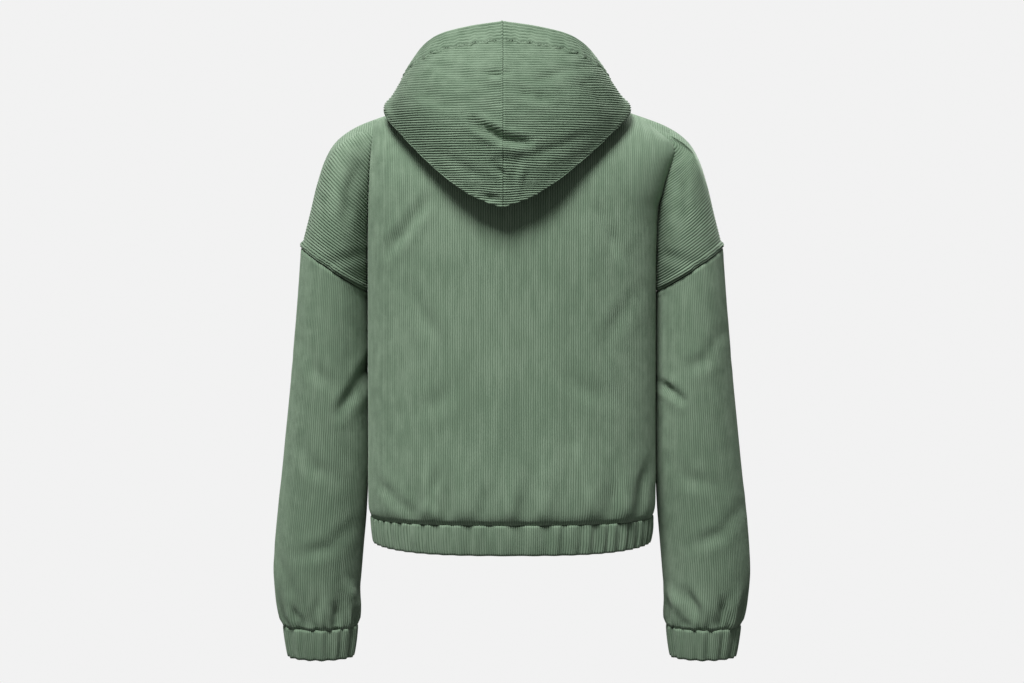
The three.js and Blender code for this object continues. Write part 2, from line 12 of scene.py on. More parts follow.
import bmesh
import bpy
import numpy as np
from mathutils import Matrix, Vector


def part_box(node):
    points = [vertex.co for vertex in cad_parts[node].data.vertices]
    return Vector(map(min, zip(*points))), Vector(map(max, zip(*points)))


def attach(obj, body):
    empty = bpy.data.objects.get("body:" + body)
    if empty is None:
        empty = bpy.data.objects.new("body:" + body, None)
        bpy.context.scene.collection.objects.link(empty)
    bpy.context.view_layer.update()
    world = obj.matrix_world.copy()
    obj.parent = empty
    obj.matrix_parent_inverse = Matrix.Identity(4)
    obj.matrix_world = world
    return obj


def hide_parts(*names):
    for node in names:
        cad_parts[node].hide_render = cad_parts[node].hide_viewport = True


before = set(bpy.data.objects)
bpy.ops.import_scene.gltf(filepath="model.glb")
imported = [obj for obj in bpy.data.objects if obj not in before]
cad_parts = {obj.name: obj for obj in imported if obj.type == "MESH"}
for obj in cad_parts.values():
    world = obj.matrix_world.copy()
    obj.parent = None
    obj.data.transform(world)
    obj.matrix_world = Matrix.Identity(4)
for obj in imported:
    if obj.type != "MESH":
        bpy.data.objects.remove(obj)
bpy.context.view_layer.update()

logging.basicConfig(level=logging.INFO, format="%(message)s")
log = logging.getLogger("jacket")

MM = 0.001
TINY = 1e-9
WALL = 1.8
SEAM = 0.5
SEAM_LAP = 0.3  # how far one half of the hood laps over the other
SHOWN_GAP = 0.06  # gap between two pieces where they are sewn together
PITCH = 2.8  # from one rib of the corduroy to the next
CHANNEL_PITCH = 4.3  # the same in the bunched cloth along the hood's rim
STEPS_PER_RIB = 4
RIB_HEIGHT = 0.85
OPEN_RIB_HEIGHT = 1.9  # ribs of the hood and the dropped shoulders, where the bent cloth opens them
RIB_LEVEL = 0.6  # share of the rib's height that lies under the cloth's mean face
ROW_APART = 0.006  # least distance between two rows of cloth where many end together
JOIN_WITHIN = 2e-6  # metres within which two points of a piece are one
TURN = 2 * math.pi

Array = np.ndarray
Object = bpy.types.Object
Material = bpy.types.Material
Socket = bpy.types.NodeSocket
Colour = tuple[float, float, float]


class Face(Enum):
    """Side of the jacket that a panel is on."""

    BACK = 1
    FRONT = -1


class Hand(Enum):
    """The wearer's left or right."""

    LEFT = 1
    RIGHT = -1


class Edge(Enum):
    """Edge of a grid of cloth."""

    LOW = 0
    HIGH = 1
    FIRST = 2
    LAST = 3


class Side(Enum):
    """Side of the cloth, which is also its material's place on a piece."""

    RIGHT = 0
    WRONG = 1


# Each edge's place in a grid of columns x rows
EDGE_LINES = {Edge.LOW: np.s_[:, 0], Edge.HIGH: np.s_[:, -1], Edge.FIRST: np.s_[0], Edge.LAST: np.s_[-1]}


# Curves and tables


def lerp(a: Array | float, b: Array | float, share: Array | float) -> Array | float:
    """Value a share of the way from a to b."""
    return a + (b - a) * share


def ease(x: Array | float, low: float, high: float) -> Array:
    """Smooth step from 0 at low to 1 at high."""
    t = np.clip((np.asarray(x, float) - low) / (high - low), 0, 1)
    return t * t * (3 - 2 * t)


def unit(vectors: Array) -> Array:
    """Vectors scaled to a length of one."""
    return vectors / np.maximum(np.linalg.norm(vectors, axis=-1, keepdims=True), TINY)


class Table:
    """Rows of sizes, read with a smooth curve between the rows.

    Args:
        rows: one tuple a row, whose first value is the place it is read by.
    """

    def __init__(self, rows: tuple[tuple[float, ...], ...]) -> None:
        """Sorts the rows by place and works out their slopes."""
        data = np.array(rows, float)
        self.data = data[np.argsort(data[:, 0])]
        before = np.maximum(np.arange(len(data)) - 1, 0)
        after = np.minimum(np.arange(len(data)) + 1, len(data) - 1)
        rise = self.data[after] - self.data[before]
        self.slopes = rise / rise[:, :1]

    def read(self, place: Array | float, column: int) -> Array:
        """Reads one column.

        Args:
            place: where to read.
            column: which column.

        Returns:
            The column's values there.
        """
        keys = self.data[:, 0]
        at = np.clip(np.asarray(place, float), keys[0], keys[-1])
        i = np.clip(np.searchsorted(keys, at, "left") - 1, 0, len(keys) - 2)
        span = keys[i + 1] - keys[i]
        t = (at - keys[i]) / span
        h = t * t * (3 - 2 * t)
        bend = (1 - t) * self.slopes[i, column] - t * self.slopes[i + 1, column]
        return lerp(self.data[i, column], self.data[i + 1, column], h) + span * t * (1 - t) * bend


def rounded_path(points: Array, t: Array) -> Array:
    """Centripetal curves through rows of points.

    Args:
        points: curves x points x 3.
        t: places along each curve, 0 to 1, with an equal share for each stretch.

    Returns:
        curves x places x 3.
    """
    first = 2 * points[:, :1] - points[:, 1:2]
    last = 2 * points[:, -1:] - points[:, -2:-1]
    p = np.concatenate([first, points, last], axis=1)
    stretches = points.shape[1] - 1
    place = np.clip(t, 0, 1) * stretches
    i = np.minimum(place.astype(int), stretches - 1)
    s = (place - i)[None, :, None]
    a, b, c, d = (p[:, i + k] for k in range(4))
    apart = (np.linalg.norm(v - u, axis=-1, keepdims=True) for u, v in ((a, b), (b, c), (c, d)))
    gap = [np.sqrt(np.maximum(distance, 1e-4)) for distance in apart]
    start = ((b - a) / gap[0] - (c - a) / (gap[0] + gap[1]) + (c - b) / gap[1]) * gap[1]
    end = ((c - b) / gap[1] - (d - b) / (gap[1] + gap[2]) + (d - c) / gap[2]) * gap[1]
    return b + start * s + (3 * (c - b) - 2 * start - end) * s**2 + (2 * (b - c) + start + end) * s**3


def path_lengths(points: Array) -> Array:
    """Distance along each path at each of its points."""
    steps = np.linalg.norm(np.diff(points, axis=-2), axis=-1)
    return np.concatenate([np.zeros_like(steps[..., :1]), np.cumsum(steps, axis=-1)], axis=-1)


def along_rows(points: Array, places: Array) -> Array:
    """Points at fractional row numbers of a grid, between its two nearest rows."""
    low = np.clip(places.astype(int), 0, points.shape[1] - 2)
    share = (places - low)[..., None]
    column = np.arange(points.shape[0])[:, None]
    return lerp(points[column, low], points[column, low + 1], share)


def rib(place: Array) -> Array:
    """Height of the corduroy at a place counted in ribs, from 0 in the groove to 1 on the rib."""
    return np.abs(np.sin(np.pi * place)) ** 0.6


def rib_relief(place: Array, height: float = RIB_HEIGHT) -> Array:
    """Relief of the ribs at places counted in ribs."""
    return height * (rib(place) - RIB_LEVEL)


def rib_places(ribs: int) -> Array:
    """Places of the points that make up a number of ribs."""
    return np.arange(ribs * STEPS_PER_RIB + 1) / STEPS_PER_RIB


def grain_at(ribs: Array, along: Array) -> Array:
    """Place in the cloth of each point of a grid, in ribs and in millimetres."""
    return np.stack(np.broadcast_arrays(ribs, along), axis=-1)


def bell(x: Array, width: float) -> Array:
    """Bell curve, 1 at 0."""
    return np.exp(-((x / width) ** 2))


def mirrored(points: Array, hand: Hand) -> Array:
    """Points on the wearer's left, moved to the given hand."""
    return points * [hand.value, 1, 1]


# The jacket's form, as in the solids


# The wearer's right shoulder fold bows outwards towards its top: heights, and how far out at each
BOW_HEIGHTS = (-200, -155, -131, -120, -103, -85, -70)
BOW_REACHES = (0, 1.5, 4, 8, 13, 20, 27)

# Height, half width, depth of the back, depth of the front
TORSO_ROWS = (
    (-545, 168, 107, 114),
    (-511, 171, 111, 118),
    (-500, 174.5, 117, 126),
    (-470, 175, 119, 131),
    (-400, 175, 117, 132),
    (-320, 175, 116, 133),
    (-237, 175, 117, 131),
    (-170, 175, 117, 119),
    (-120, 175, 114, 101),
    (-78, 175, 109, 82),
    (-40, 175, 104, 74),
    (10, 175, 100, 70),
)

# Distance across and height of the shoulder line, from the neck to the armhole
SHOULDER_ROWS = (
    (76, 0),
    (112, -10),
    (150, -22.5),
    (183, -34.5),
    (203, -46),
    (216.5, -59),
    (227, -78),
    (235.5, -104),
    (243, -134),
    (250.5, -163),
    (256, -184),
)


@dataclass(frozen=True)
class Form:
    """Main sizes and surfaces of the jacket."""

    hem: float = -545.0
    band_top: float = -510.0
    armpit: float = -237.0
    fold_top: float = -57.0
    fold_margin: float = 16.0
    back_roll: float = 105.0
    front_roll: float = 95.0
    squareness: float = 2.6
    half_width: float = 175.0
    neck: float = 76.0
    neck_rise: float = 4.0
    back_neck_depth: float = 65.0
    front_neck_drop: float = 78.0
    edge_turn: float = 70.0
    shoulder_reach: float = 162.0
    back_fullness: float = 62.0
    front_fullness: float = 60.0
    torso: Table = field(default_factory=lambda: Table(TORSO_ROWS))
    shoulder: Table = field(default_factory=lambda: Table(SHOULDER_ROWS))

    def shoulder_point(self, share: Array) -> Array:
        """Points of the shoulder line at shares of its length from the neck."""
        data = self.shoulder.data
        line = np.stack([data[:, 0], np.zeros(len(data)), data[:, 1]], axis=1)[None]
        dense = rounded_path(line, np.linspace(0, 1, 1201))[0]
        reach = path_lengths(dense)
        place = np.clip(share, 0, 1) * reach[-1]
        return np.stack([np.interp(place, reach, dense[:, k]) for k in range(3)], axis=-1)

    def shoulder_length(self) -> float:
        """Length of the shoulder line."""
        points = self.shoulder_point(np.linspace(0, 1, 400))
        return float(path_lengths(points)[-1])

    def ridge(self, x: Array) -> Array:
        """Height of the shoulder line over a distance across the body."""
        x = np.asarray(x, float)
        inside = self.neck_rise * (1 - (x / self.neck) ** 2)
        return np.where(x <= self.neck, inside, self.shoulder.read(x, 1))

    def torso_point(self, face: Face, turn: Array, z: Array) -> Array:
        """Points of the trunk.

        Args:
            face: back or front.
            turn: degrees round from the middle, 0, to the side, 90.
            z: heights.

        Returns:
            Points on the wearer's left half.
        """
        power = 2 / self.squareness
        turn, z = np.broadcast_arrays(np.asarray(turn, float), np.asarray(z, float))
        angle = np.radians(turn)
        x = self.torso.read(z, 1) * np.maximum(np.sin(angle), 0) ** power
        depth = self.torso.read(z, 2 if face is Face.BACK else 3)
        below = (self.ridge(x) - z) / (self.back_roll if face is Face.BACK else self.front_roll)
        roll = np.sqrt(np.maximum(1 - (1 - np.clip(below, 0, 1)) ** 2, 0))
        y = depth * np.maximum(np.cos(angle), 0) ** power * roll
        return np.stack([x, face.value * y, z], axis=-1)

    def turn_at(self, x: Array, z: Array) -> Array:
        """Turn at which the trunk reaches a distance across."""
        share = np.minimum(np.asarray(x, float) / self.torso.read(z, 1), 1)
        return np.degrees(np.arcsin(np.maximum(share, 0) ** (self.squareness / 2)))

    def top(self, face: Face, x: Array) -> Array:
        """Height of the neckline, or of the shoulder seam beyond it."""
        open_share = np.sqrt(np.maximum(1 - (np.asarray(x, float) / self.neck) ** 2, 0))
        if face is Face.BACK:
            share = self.back_neck_depth * open_share / float(self.torso.read(0.0, 2))
            neckline = self.ridge(x) - self.back_roll * (1 - np.sqrt(1 - share**2))
        else:
            neckline = -self.front_neck_drop * open_share**1.7
        return np.where(np.asarray(x) >= self.neck, self.ridge(x), neckline)

    def fold_point(self, face: Face, part: Array) -> Array:
        """Bottom of the fold between trunk and arm, from its top, 0, to the underarm, 1."""
        part = np.asarray(part, float)
        height = lerp(self.fold_top, self.armpit, part)
        point = self.torso_point(face, lerp(self.edge_turn, 90, part**0.8), height)
        point[..., 0] += 0.7 * part**2
        return point

    def arm_point(self, face: Face, part: Array, along: Array) -> Array:
        """Points of the dropped shoulder.

        Args:
            face: back or front.
            part: 0 at the fold's top to 1 at the armhole.
            along: 0 at the fold to 1 at the shoulder line.

        Returns:
            Points on the wearer's left half.
        """
        part, along = np.broadcast_arrays(np.asarray(part, float), np.asarray(along, float))
        low = self.fold_point(face, part)
        high = self.shoulder_point(1 - self.shoulder_reach * (1 - part) / self.shoulder_length())
        sweep = np.radians(lerp(30, 180, 1 - (1 - part) ** 2.2))
        down = 1 - along
        share = (1 - np.cos(sweep * down)) / (1 - np.cos(sweep))
        quarter = np.minimum(sweep, math.pi / 2)
        most = self.back_fullness if face is Face.BACK else self.front_fullness
        fullness = most * (1 - (1 - part) ** 1.8)
        y = np.abs(low[..., 1]) * np.sin(quarter * down) / np.sin(quarter) + fullness * np.sin(math.pi * down)
        x = lerp(high[..., 0], low[..., 0], share)
        z = lerp(high[..., 2], low[..., 2], share)
        return np.stack([x, face.value * y, z], axis=-1)

    def shape_body(self, points: Array) -> Array:
        """Folds above the hem band, and the fold that bows out on the wearer's right."""
        x, y, z = np.moveaxis(points, -1, 0)
        held = lerp(0.3, 1, ease(z, self.band_top, self.band_top + 16))
        up = held * (1 - ease(z, self.band_top + 16, self.band_top + 85))
        turn = 2 * math.pi * x / 47
        side = 1 - ease(np.abs(x), 148, 173)
        flat = side * np.where(y > 0, 1, ease(np.abs(x), 22, 55))
        swell = 2.6 * up * flat * (np.sin(turn + 1) + 0.6 * np.sin(turn * 1.43 + 2.2))
        out = unit(np.stack([x / 3, y, np.zeros_like(x)], axis=-1))
        moved = points + out * swell[..., None]
        up, out = self.raised(moved), self.bow(moved)
        moved[..., 0] -= out
        moved[..., 2] += up
        return moved

    def bow(self, points: Array) -> Array:
        """How far points on the wearer's right move out with the bowed fold."""
        across, z = -points[..., 0], points[..., 2]
        near = ease(across, 125, 172) * (1 - ease(across, 176, 246))
        height = np.interp(z, BOW_HEIGHTS, BOW_REACHES)
        under = ease(self.ridge(np.clip(across, 0, 255)) - z, 2, 34)
        off_seam = ease(np.abs(points[..., 1]), 3, 24)
        return np.where(across < 0, 0, near * height * under * off_seam)

    def raised(self, points: Array) -> Array:
        """How far points on the wearer's left move up, with the fold's higher start."""
        across, z = points[..., 0], points[..., 2]
        near = ease(across, 135, 163) * (1 - ease(across, 185, 240))
        under = ease(self.ridge(np.clip(across, 0, 255)) - z, 0, 30)
        return np.where(across < 0, 0, 9.0 * near * ease(z, -150, -72) * under)


FORM = Form()


@dataclass(frozen=True)
class Crease:
    """A soft uneven ridge or trough in the cloth.

    Attributes:
        path: places (x, z) that it runs through.
        height: how far it stands out, or lies in if negative.
        width: half its width.
        lip: share of its height that the cloth beside it moves the other way.
        uneven: how much its height varies along it.
    """

    path: tuple[tuple[float, float], ...]
    height: float
    width: float
    lip: float = 0.35
    uneven: float = 0.25

    def relief(self, x: Array, z: Array) -> Array:
        """Height of the crease at places of the cloth.

        Args:
            x: distances across.
            z: heights.

        Returns:
            Heights along the cloth's normal.
        """
        points = np.array(self.path, float)
        reach = path_lengths(points)
        best = np.full(x.shape, 1e9)
        place = np.zeros(x.shape)
        for k in range(len(points) - 1):
            step = points[k + 1] - points[k]
            size = float(step @ step)
            t = np.clip(((x - points[k, 0]) * step[0] + (z - points[k, 1]) * step[1]) / size, 0, 1)
            gap = np.hypot(x - points[k, 0] - t * step[0], z - points[k, 1] - t * step[1])
            nearer = gap < best
            best = np.where(nearer, gap, best)
            along = (reach[k] + t * (reach[k + 1] - reach[k])) / reach[-1]
            place = np.where(nearer, along, place)
        ends = np.sin(math.pi * np.clip(0.08 + 0.84 * place, 0, 1)) ** 0.8
        wave = 1 + self.uneven * np.sin(9 * place + self.width)
        beside = self.lip * bell(best - 1.9 * self.width, self.width)
        return self.height * ends * wave * (bell(best, self.width) - beside)


def relief_of(creases: tuple[Crease, ...], points: Array) -> Array:
    """Sum of the creases at points of a panel."""
    return sum(crease.relief(points[..., 0], points[..., 2]) for crease in creases)


# Meshes


def outward_normals(points: Array, away: Array, around: bool = False) -> Array:
    """Normals of a grid of points, turned out of the body.

    Args:
        points: columns x rows x 3.
        away: roughly the way out at each point.
        around: whether the last column joins the first.

    Returns:
        columns x rows x 3.
    """
    if around:
        across = np.roll(points, -1, axis=0) - np.roll(points, 1, axis=0)
    else:
        across = np.gradient(points, axis=0)
    normals = unit(np.cross(across, np.gradient(points, axis=1)))
    return normals * np.sign((normals * away).sum())


def linked(name: str, data: bpy.types.ID) -> Object:
    """Object of a mesh, light or camera, linked to the scene."""
    made = bpy.data.objects.new(name, data)
    bpy.context.scene.collection.objects.link(made)
    return made


def plain_object(
    name: str, points: list, faces: list[tuple[int, ...]], materials: list[Material]
) -> Object:
    """Makes a smooth object of points and faces.

    Args:
        name: the object's name.
        points: places in metres.
        faces: the numbers of each face's points.
        materials: its materials, the first one on every face.

    Returns:
        The object, linked to the scene.
    """
    mesh = bpy.data.meshes.new(name)
    mesh.from_pydata(points, [], faces)
    mesh.polygons.foreach_set("use_smooth", np.ones(len(faces), bool))
    for material in materials:
        mesh.materials.append(material)
    mesh.update()
    return linked(name, mesh)


def tube_faces(start: int, rings: int, around: int, capped: bool = False) -> list[tuple[int, ...]]:
    """Faces between rings of points that follow each other.

    Args:
        start: number of the first point.
        rings: how many rings there are.
        around: points in each ring.
        capped: whether the first and last ring are closed.

    Returns:
        The numbers of each face's points.
    """
    faces = []
    for first in range(start, start + (rings - 1) * around, around):
        for k in range(around):
            p, q = first + k, first + (k + 1) % around
            faces.append((p, q, q + around, p + around))
    if capped:
        last = start + (rings - 1) * around
        faces.append(tuple(range(start + around - 1, start - 1, -1)))
        faces.append(tuple(range(last, last + around)))
    return faces


class ClothMesh:
    """Collects closed shells of cloth and makes one mesh object of them."""

    def __init__(self) -> None:
        """Starts with nothing in it."""
        self.points: list[Array] = []
        self.count = 0
        self.quads: list[Array] = []
        self.quad_uvs: list[Array] = []
        self.cells: list[tuple[list[int], list[tuple[float, float]]]] = []

    def add_points(self, points: Array) -> Array:
        """Adds points and gives their numbers."""
        flat = points.reshape(-1, 3)
        self.points.append(flat)
        self.count += len(flat)
        return np.arange(self.count - len(flat), self.count).reshape(points.shape[:-1])

    def add_quads(self, ids: list[Array], uvs: list[Array], turned: bool) -> None:
        """Adds four-sided faces of the right side.

        Args:
            ids: the numbers of each of the four corners.
            uvs: the grain places of each of the four corners.
            turned: whether the order is reversed.
        """
        order = [3, 2, 1, 0] if turned else [0, 1, 2, 3]
        self.quads.append(np.stack([ids[k].ravel() for k in order], axis=1))
        self.quad_uvs.append(np.stack([uvs[k].reshape(-1, 2) for k in order], axis=1))

    def add_shell(
        self,
        outer: Array,
        inner: Array,
        grain: Array,
        step: tuple[int, int] = (4, 3),
        joined: tuple[Edge, ...] = (),
        around: bool = False,
    ) -> None:
        """Adds one closed shell, with a fine right side and a plainer wrong side.

        Args:
            outer: right side, columns x rows x 3.
            inner: wrong side at the same places.
            grain: place in the cloth in ribs and millimetres, one column more than outer if around.
            step: columns and rows of the right side to one of the wrong side.
            joined: edges that run on into another grid and so have no rim.
            around: whether the last column joins the first.
        """
        normals = np.cross(np.gradient(outer, axis=0), np.gradient(outer, axis=1))
        turned = bool((normals * (outer - inner)).sum() < 0)
        ids = self.add_points(outer)
        inside = -np.ones(ids.shape, int)
        wanted = np.zeros(ids.shape, bool)
        wanted[:: step[0], :: step[1]] = True
        wanted[:, [0, -1]] = True
        if around:
            joined += (Edge.FIRST, Edge.LAST)
        else:
            wanted[[0, -1], :] = True
        inside[wanted] = self.add_points(inner[wanted])
        if around:
            ids, inside = (np.vstack([a, a[:1]]) for a in (ids, inside))
        for_each = ([a[:-1, :-1], a[1:, :-1], a[1:, 1:], a[:-1, 1:]] for a in (ids, grain))
        self.add_quads(*for_each, turned)
        for edge, line in EDGE_LINES.items():
            if edge in joined:
                continue
            a, b = slice(None, -1), slice(1, None)
            if edge in (Edge.LOW, Edge.LAST):
                a, b = b, a
            top, under, place = ids[line], inside[line], grain[line]
            corners = [top[a], top[b], under[b], under[a]]
            self.add_quads(corners, [place[a], place[b], place[b], place[a]], turned)
        self.add_wrong_side(inside, grain, turned, step, around)

    def add_wrong_side(
        self, inside: Array, grain: Array, turned: bool, step: tuple[int, int], around: bool
    ) -> None:
        """Adds the plainer wrong side, whose outer cells take in every point of the border.

        Args:
            inside: numbers of the points, -1 where there is none.
            grain: place in the cloth of each point.
            turned: whether the order is reversed.
            step: columns and rows to a cell.
            around: whether the columns close up.
        """
        last_i, last_j = inside.shape[0] - 1, inside.shape[1] - 1
        for i0 in range(0, last_i, step[0]):
            i1 = min(i0 + step[0], last_i)
            for j0 in range(0, last_j, step[1]):
                j1 = min(j0 + step[1], last_j)
                loop = [(i0, j) for j in (range(j0, j1) if i0 == 0 and not around else (j0,))]
                loop += [(i, j1) for i in (range(i0, i1) if j1 == last_j else (i0,))]
                loop += [(i1, j) for j in (range(j1, j0, -1) if i1 == last_i and not around else (j1,))]
                loop += [(i, j0) for i in (range(i1, i0, -1) if j0 == 0 else (i1,))]
                if turned:
                    loop.reverse()
                self.cells.append(([int(inside[c]) for c in loop], [tuple(grain[c]) for c in loop]))

    def to_object(self, name: str, wardrobe: "Wardrobe", tidy: bool = False) -> Object:
        """Makes the mesh object, in metres.

        Args:
            name: the object's name.
            wardrobe: the finishes.
            tidy: whether points that fall together are joined.

        Returns:
            The object, linked to the scene.
        """
        points = np.concatenate(self.points) * MM
        quads, uvs = np.concatenate(self.quads), np.concatenate(self.quad_uvs)
        loops = np.concatenate([quads.ravel()] + [np.array(ids) for ids, _ in self.cells])
        places = np.concatenate([uvs.reshape(-1, 2)] + [np.array(uv) for _, uv in self.cells])
        sizes = np.concatenate([np.full(len(quads), 4), [len(ids) for ids, _ in self.cells]])
        side = np.repeat([Side.RIGHT.value, Side.WRONG.value], [len(quads), len(self.cells)])
        mesh = bpy.data.meshes.new(name)
        mesh.vertices.add(len(points))
        mesh.vertices.foreach_set("co", points.astype(np.float32).ravel())
        mesh.loops.add(len(loops))
        mesh.loops.foreach_set("vertex_index", loops.astype(np.int32))
        mesh.polygons.add(len(sizes))
        mesh.polygons.foreach_set("loop_start", (np.cumsum(sizes) - sizes).astype(np.int32))
        mesh.update(calc_edges=True)
        mesh.uv_layers.new(name="grain").data.foreach_set("uv", places.astype(np.float32).ravel())
        mesh.polygons.foreach_set("material_index", side.astype(np.int32))
        mesh.polygons.foreach_set("use_smooth", np.ones(len(sizes), bool))
        for material in (wardrobe.corduroy, wardrobe.weave):
            mesh.materials.append(material)
        mesh.validate()
        mesh.update()
        if tidy:
            join_close_points(mesh)
        return linked(name, mesh)


def join_close_points(mesh: bpy.types.Mesh) -> None:
    """Joins points that fall together and drops the faces that this leaves empty."""
    work = bmesh.new()
    work.from_mesh(mesh)
    bmesh.ops.remove_doubles(work, verts=work.verts, dist=JOIN_WITHIN)
    bmesh.ops.dissolve_degenerate(work, edges=work.edges, dist=JOIN_WITHIN)
    work.to_mesh(mesh)
    work.free()


# Finishes


class Nodes:
    """Short names for building a material's nodes."""

    def __init__(self, name: str) -> None:
        """Starts a material with only its shader and output."""
        self.material = bpy.data.materials.new(name)
        self.material.use_nodes = True
        self.tree = self.material.node_tree
        self.shader = self.tree.nodes["Principled BSDF"]

    def add(self, kind: str, **values: object) -> bpy.types.Node:
        """Adds a node and sets its properties."""
        node = self.tree.nodes.new(kind)
        for key, value in values.items():
            setattr(node, key, value)
        return node

    def link(self, source: Socket, target: Socket) -> None:
        """Joins two sockets."""
        self.tree.links.new(source, target)

    def feed(self, value: object, socket: Socket) -> None:
        """Joins a socket to another one, or sets it to a number or colour."""
        if isinstance(value, Socket):
            self.link(value, socket)
        else:
            socket.default_value = value

    def surface(self, **values: object) -> None:
        """Sets or joins the shader's sockets, named with _ for each space."""
        for name, value in values.items():
            self.feed(value, self.shader.inputs[name.replace("_", " ")])

    def place(self) -> Socket:
        """Place on the object, in metres."""
        return self.add("ShaderNodeTexCoord").outputs["Object"]

    def math(self, operation: str, *values: object) -> Socket:
        """Adds a sum of numbers and sockets.

        Args:
            operation: Blender's name for the sum.
            values: a number or socket for each input.

        Returns:
            The result's socket.
        """
        node = self.add("ShaderNodeMath", operation=operation)
        for place, value in enumerate(values):
            self.feed(value, node.inputs[place])
        return node.outputs[0]

    def around(self, value: Socket, middle: float, share: float) -> Socket:
        """Share of how far a value is from a middle one."""
        return self.math("MULTIPLY", self.math("SUBTRACT", value, middle), share)

    def step(
        self, value: Socket, low: float, high: float, to: tuple[float, float] = (0, 1)
    ) -> Socket:
        """Smooth step of a value between two levels.

        Args:
            value: the value.
            low: level at which the step starts.
            high: level at which it ends.
            to: results at both levels.

        Returns:
            The result's socket.
        """
        node = self.add("ShaderNodeMapRange", interpolation_type="SMOOTHSTEP")
        names = ("Value", "From Min", "From Max", "To Min", "To Max")
        for name, wanted in zip(names, (value, low, high, *to)):
            self.feed(wanted, node.inputs[name])
        return node.outputs["Result"]

    def noise(
        self, vector: Socket, scale: float, detail: float, rough: float = 0.5
    ) -> Socket:
        """Soft noise over a vector.

        Args:
            vector: the vector's socket.
            scale: size of the noise.
            detail: how many finer layers it has.
            rough: how strong they are.

        Returns:
            The result's socket.
        """
        node = self.add("ShaderNodeTexNoise")
        for name, value in zip(("Vector", "Scale", "Detail", "Roughness"), (vector, scale, detail, rough)):
            self.feed(value, node.inputs[name])
        return node.outputs["Fac"]

    def blend(self, a: Socket, of_a: float, b: Socket, of_b: float) -> Socket:
        """Sum of a share of each of two values."""
        return self.math("ADD", self.math("MULTIPLY", a, of_a), self.math("MULTIPLY", b, of_b))

    def mix(self, share: Socket, a: object, b: object) -> Socket:
        """Mixes two colours.

        Args:
            share: how much of the second.
            a: colour or socket.
            b: colour or socket.

        Returns:
            The colour's socket.
        """
        node = self.add("ShaderNodeMix", data_type="RGBA")
        self.link(share, node.inputs["Factor"])
        for value, socket in ((a, node.inputs[6]), (b, node.inputs[7])):
            self.feed((*value, 1) if isinstance(value, tuple) else value, socket)
        return node.outputs[2]

    def bump(self, height: Socket, distance: float, strength: float) -> None:
        """Gives the shader small relief from a height."""
        node = self.add("ShaderNodeBump")
        for name, value in zip(("Height", "Distance", "Strength"), (height, distance, strength)):
            self.feed(value, node.inputs[name])
        self.link(node.outputs["Normal"], self.shader.inputs["Normal"])

    def grain(self) -> tuple[Socket, Socket]:
        """Place in the cloth: across in ribs, and across and along in millimetres."""
        place = self.add("ShaderNodeUVMap", uv_map="grain")
        parts = self.add("ShaderNodeSeparateXYZ")
        self.link(place.outputs["UV"], parts.inputs[0])
        both = self.add("ShaderNodeCombineXYZ")
        self.link(self.math("MULTIPLY", parts.outputs[0], PITCH), both.inputs[0])
        self.link(parts.outputs[1], both.inputs[1])
        return parts.outputs[0], both.outputs[0]


@dataclass(frozen=True)
class Corduroy:
    """Right side of the cloth: cut pile in ribs, brushed unevenly, with a painted highlight on the rib crests
    and painted shade in the grooves.

    Attributes:
        pile: colour of the ribs.
        brushed_and_highlit_pile: colour where the pile is brushed up, also used as the painted highlight on
            the rib crests.
        groove: painted shade, the dark colour laid into the grooves between the ribs.
    """

    pile: Colour = (0.168, 0.243, 0.166)
    brushed_and_highlit_pile: Colour = (0.232, 0.318, 0.226)
    groove: Colour = (0.085, 0.132, 0.086)

    def material(self) -> Material:
        """Builds the material."""
        n = Nodes("corduroy")
        ribs, cloth = n.grain()
        place = n.place()
        drift = n.around(n.noise(place, 70, 2), 0.5, 0.5)
        across = n.math("FRACT", n.math("ADD", ribs, drift))
        across = n.math("ABSOLUTE", n.math("SUBTRACT", across, 0.5))
        # Painted shade: mask of the grooves between the ribs, which take the darker groove colour
        groove = n.step(across, 0.27, 0.49)
        each = n.add("ShaderNodeTexWhiteNoise", noise_dimensions="1D")
        n.link(n.math("FLOOR", ribs), each.inputs["W"])
        stretched = n.add("ShaderNodeMapping")
        stretched.inputs["Scale"].default_value = (1.0, 0.22, 1.0)
        n.link(cloth, stretched.inputs["Vector"])
        tufts = n.noise(stretched.outputs[0], 1.1, 3, 0.6)
        brushed = n.blend(n.noise(place, 9, 3), 0.55, n.noise(stretched.outputs[0], 0.12, 2), 0.45)
        brushing_and_crest_highlight = n.math("ADD", n.step(brushed, 0.36, 0.66), n.around(each.outputs["Value"], 0.5, 0.35))
        brushing_and_crest_highlight = n.math("ADD", brushing_and_crest_highlight, n.around(tufts, 0.5, 1.1))
        clamped = n.add("ShaderNodeClamp")
        # Painted highlight: the rib crests are pushed towards the lighter brushed colour, and the rib sides
        # slightly away from it
        n.link(n.math("ADD", brushing_and_crest_highlight, n.step(across, 0.0, 0.3, (0.25, -0.1))), clamped.inputs[0])
        pile = n.mix(clamped.outputs[0], self.pile, self.brushed_and_highlit_pile)
        n.bump(n.blend(tufts, 0.7, n.noise(place, 1900, 2, 0.7), 0.5), 0.0005, 0.45)
        # The base colour lays the painted groove shade over the pile, which carries the painted crest
        # highlight
        n.surface(
            Base_Color=n.mix(n.math("MULTIPLY", groove, 0.9), pile, self.groove),
            Roughness=0.95,
            Specular_IOR_Level=0.12,
            Sheen_Weight=0.35,
            Sheen_Roughness=0.45,
            Sheen_Tint=(0.72, 0.85, 0.7, 1),
        )
        return n.material


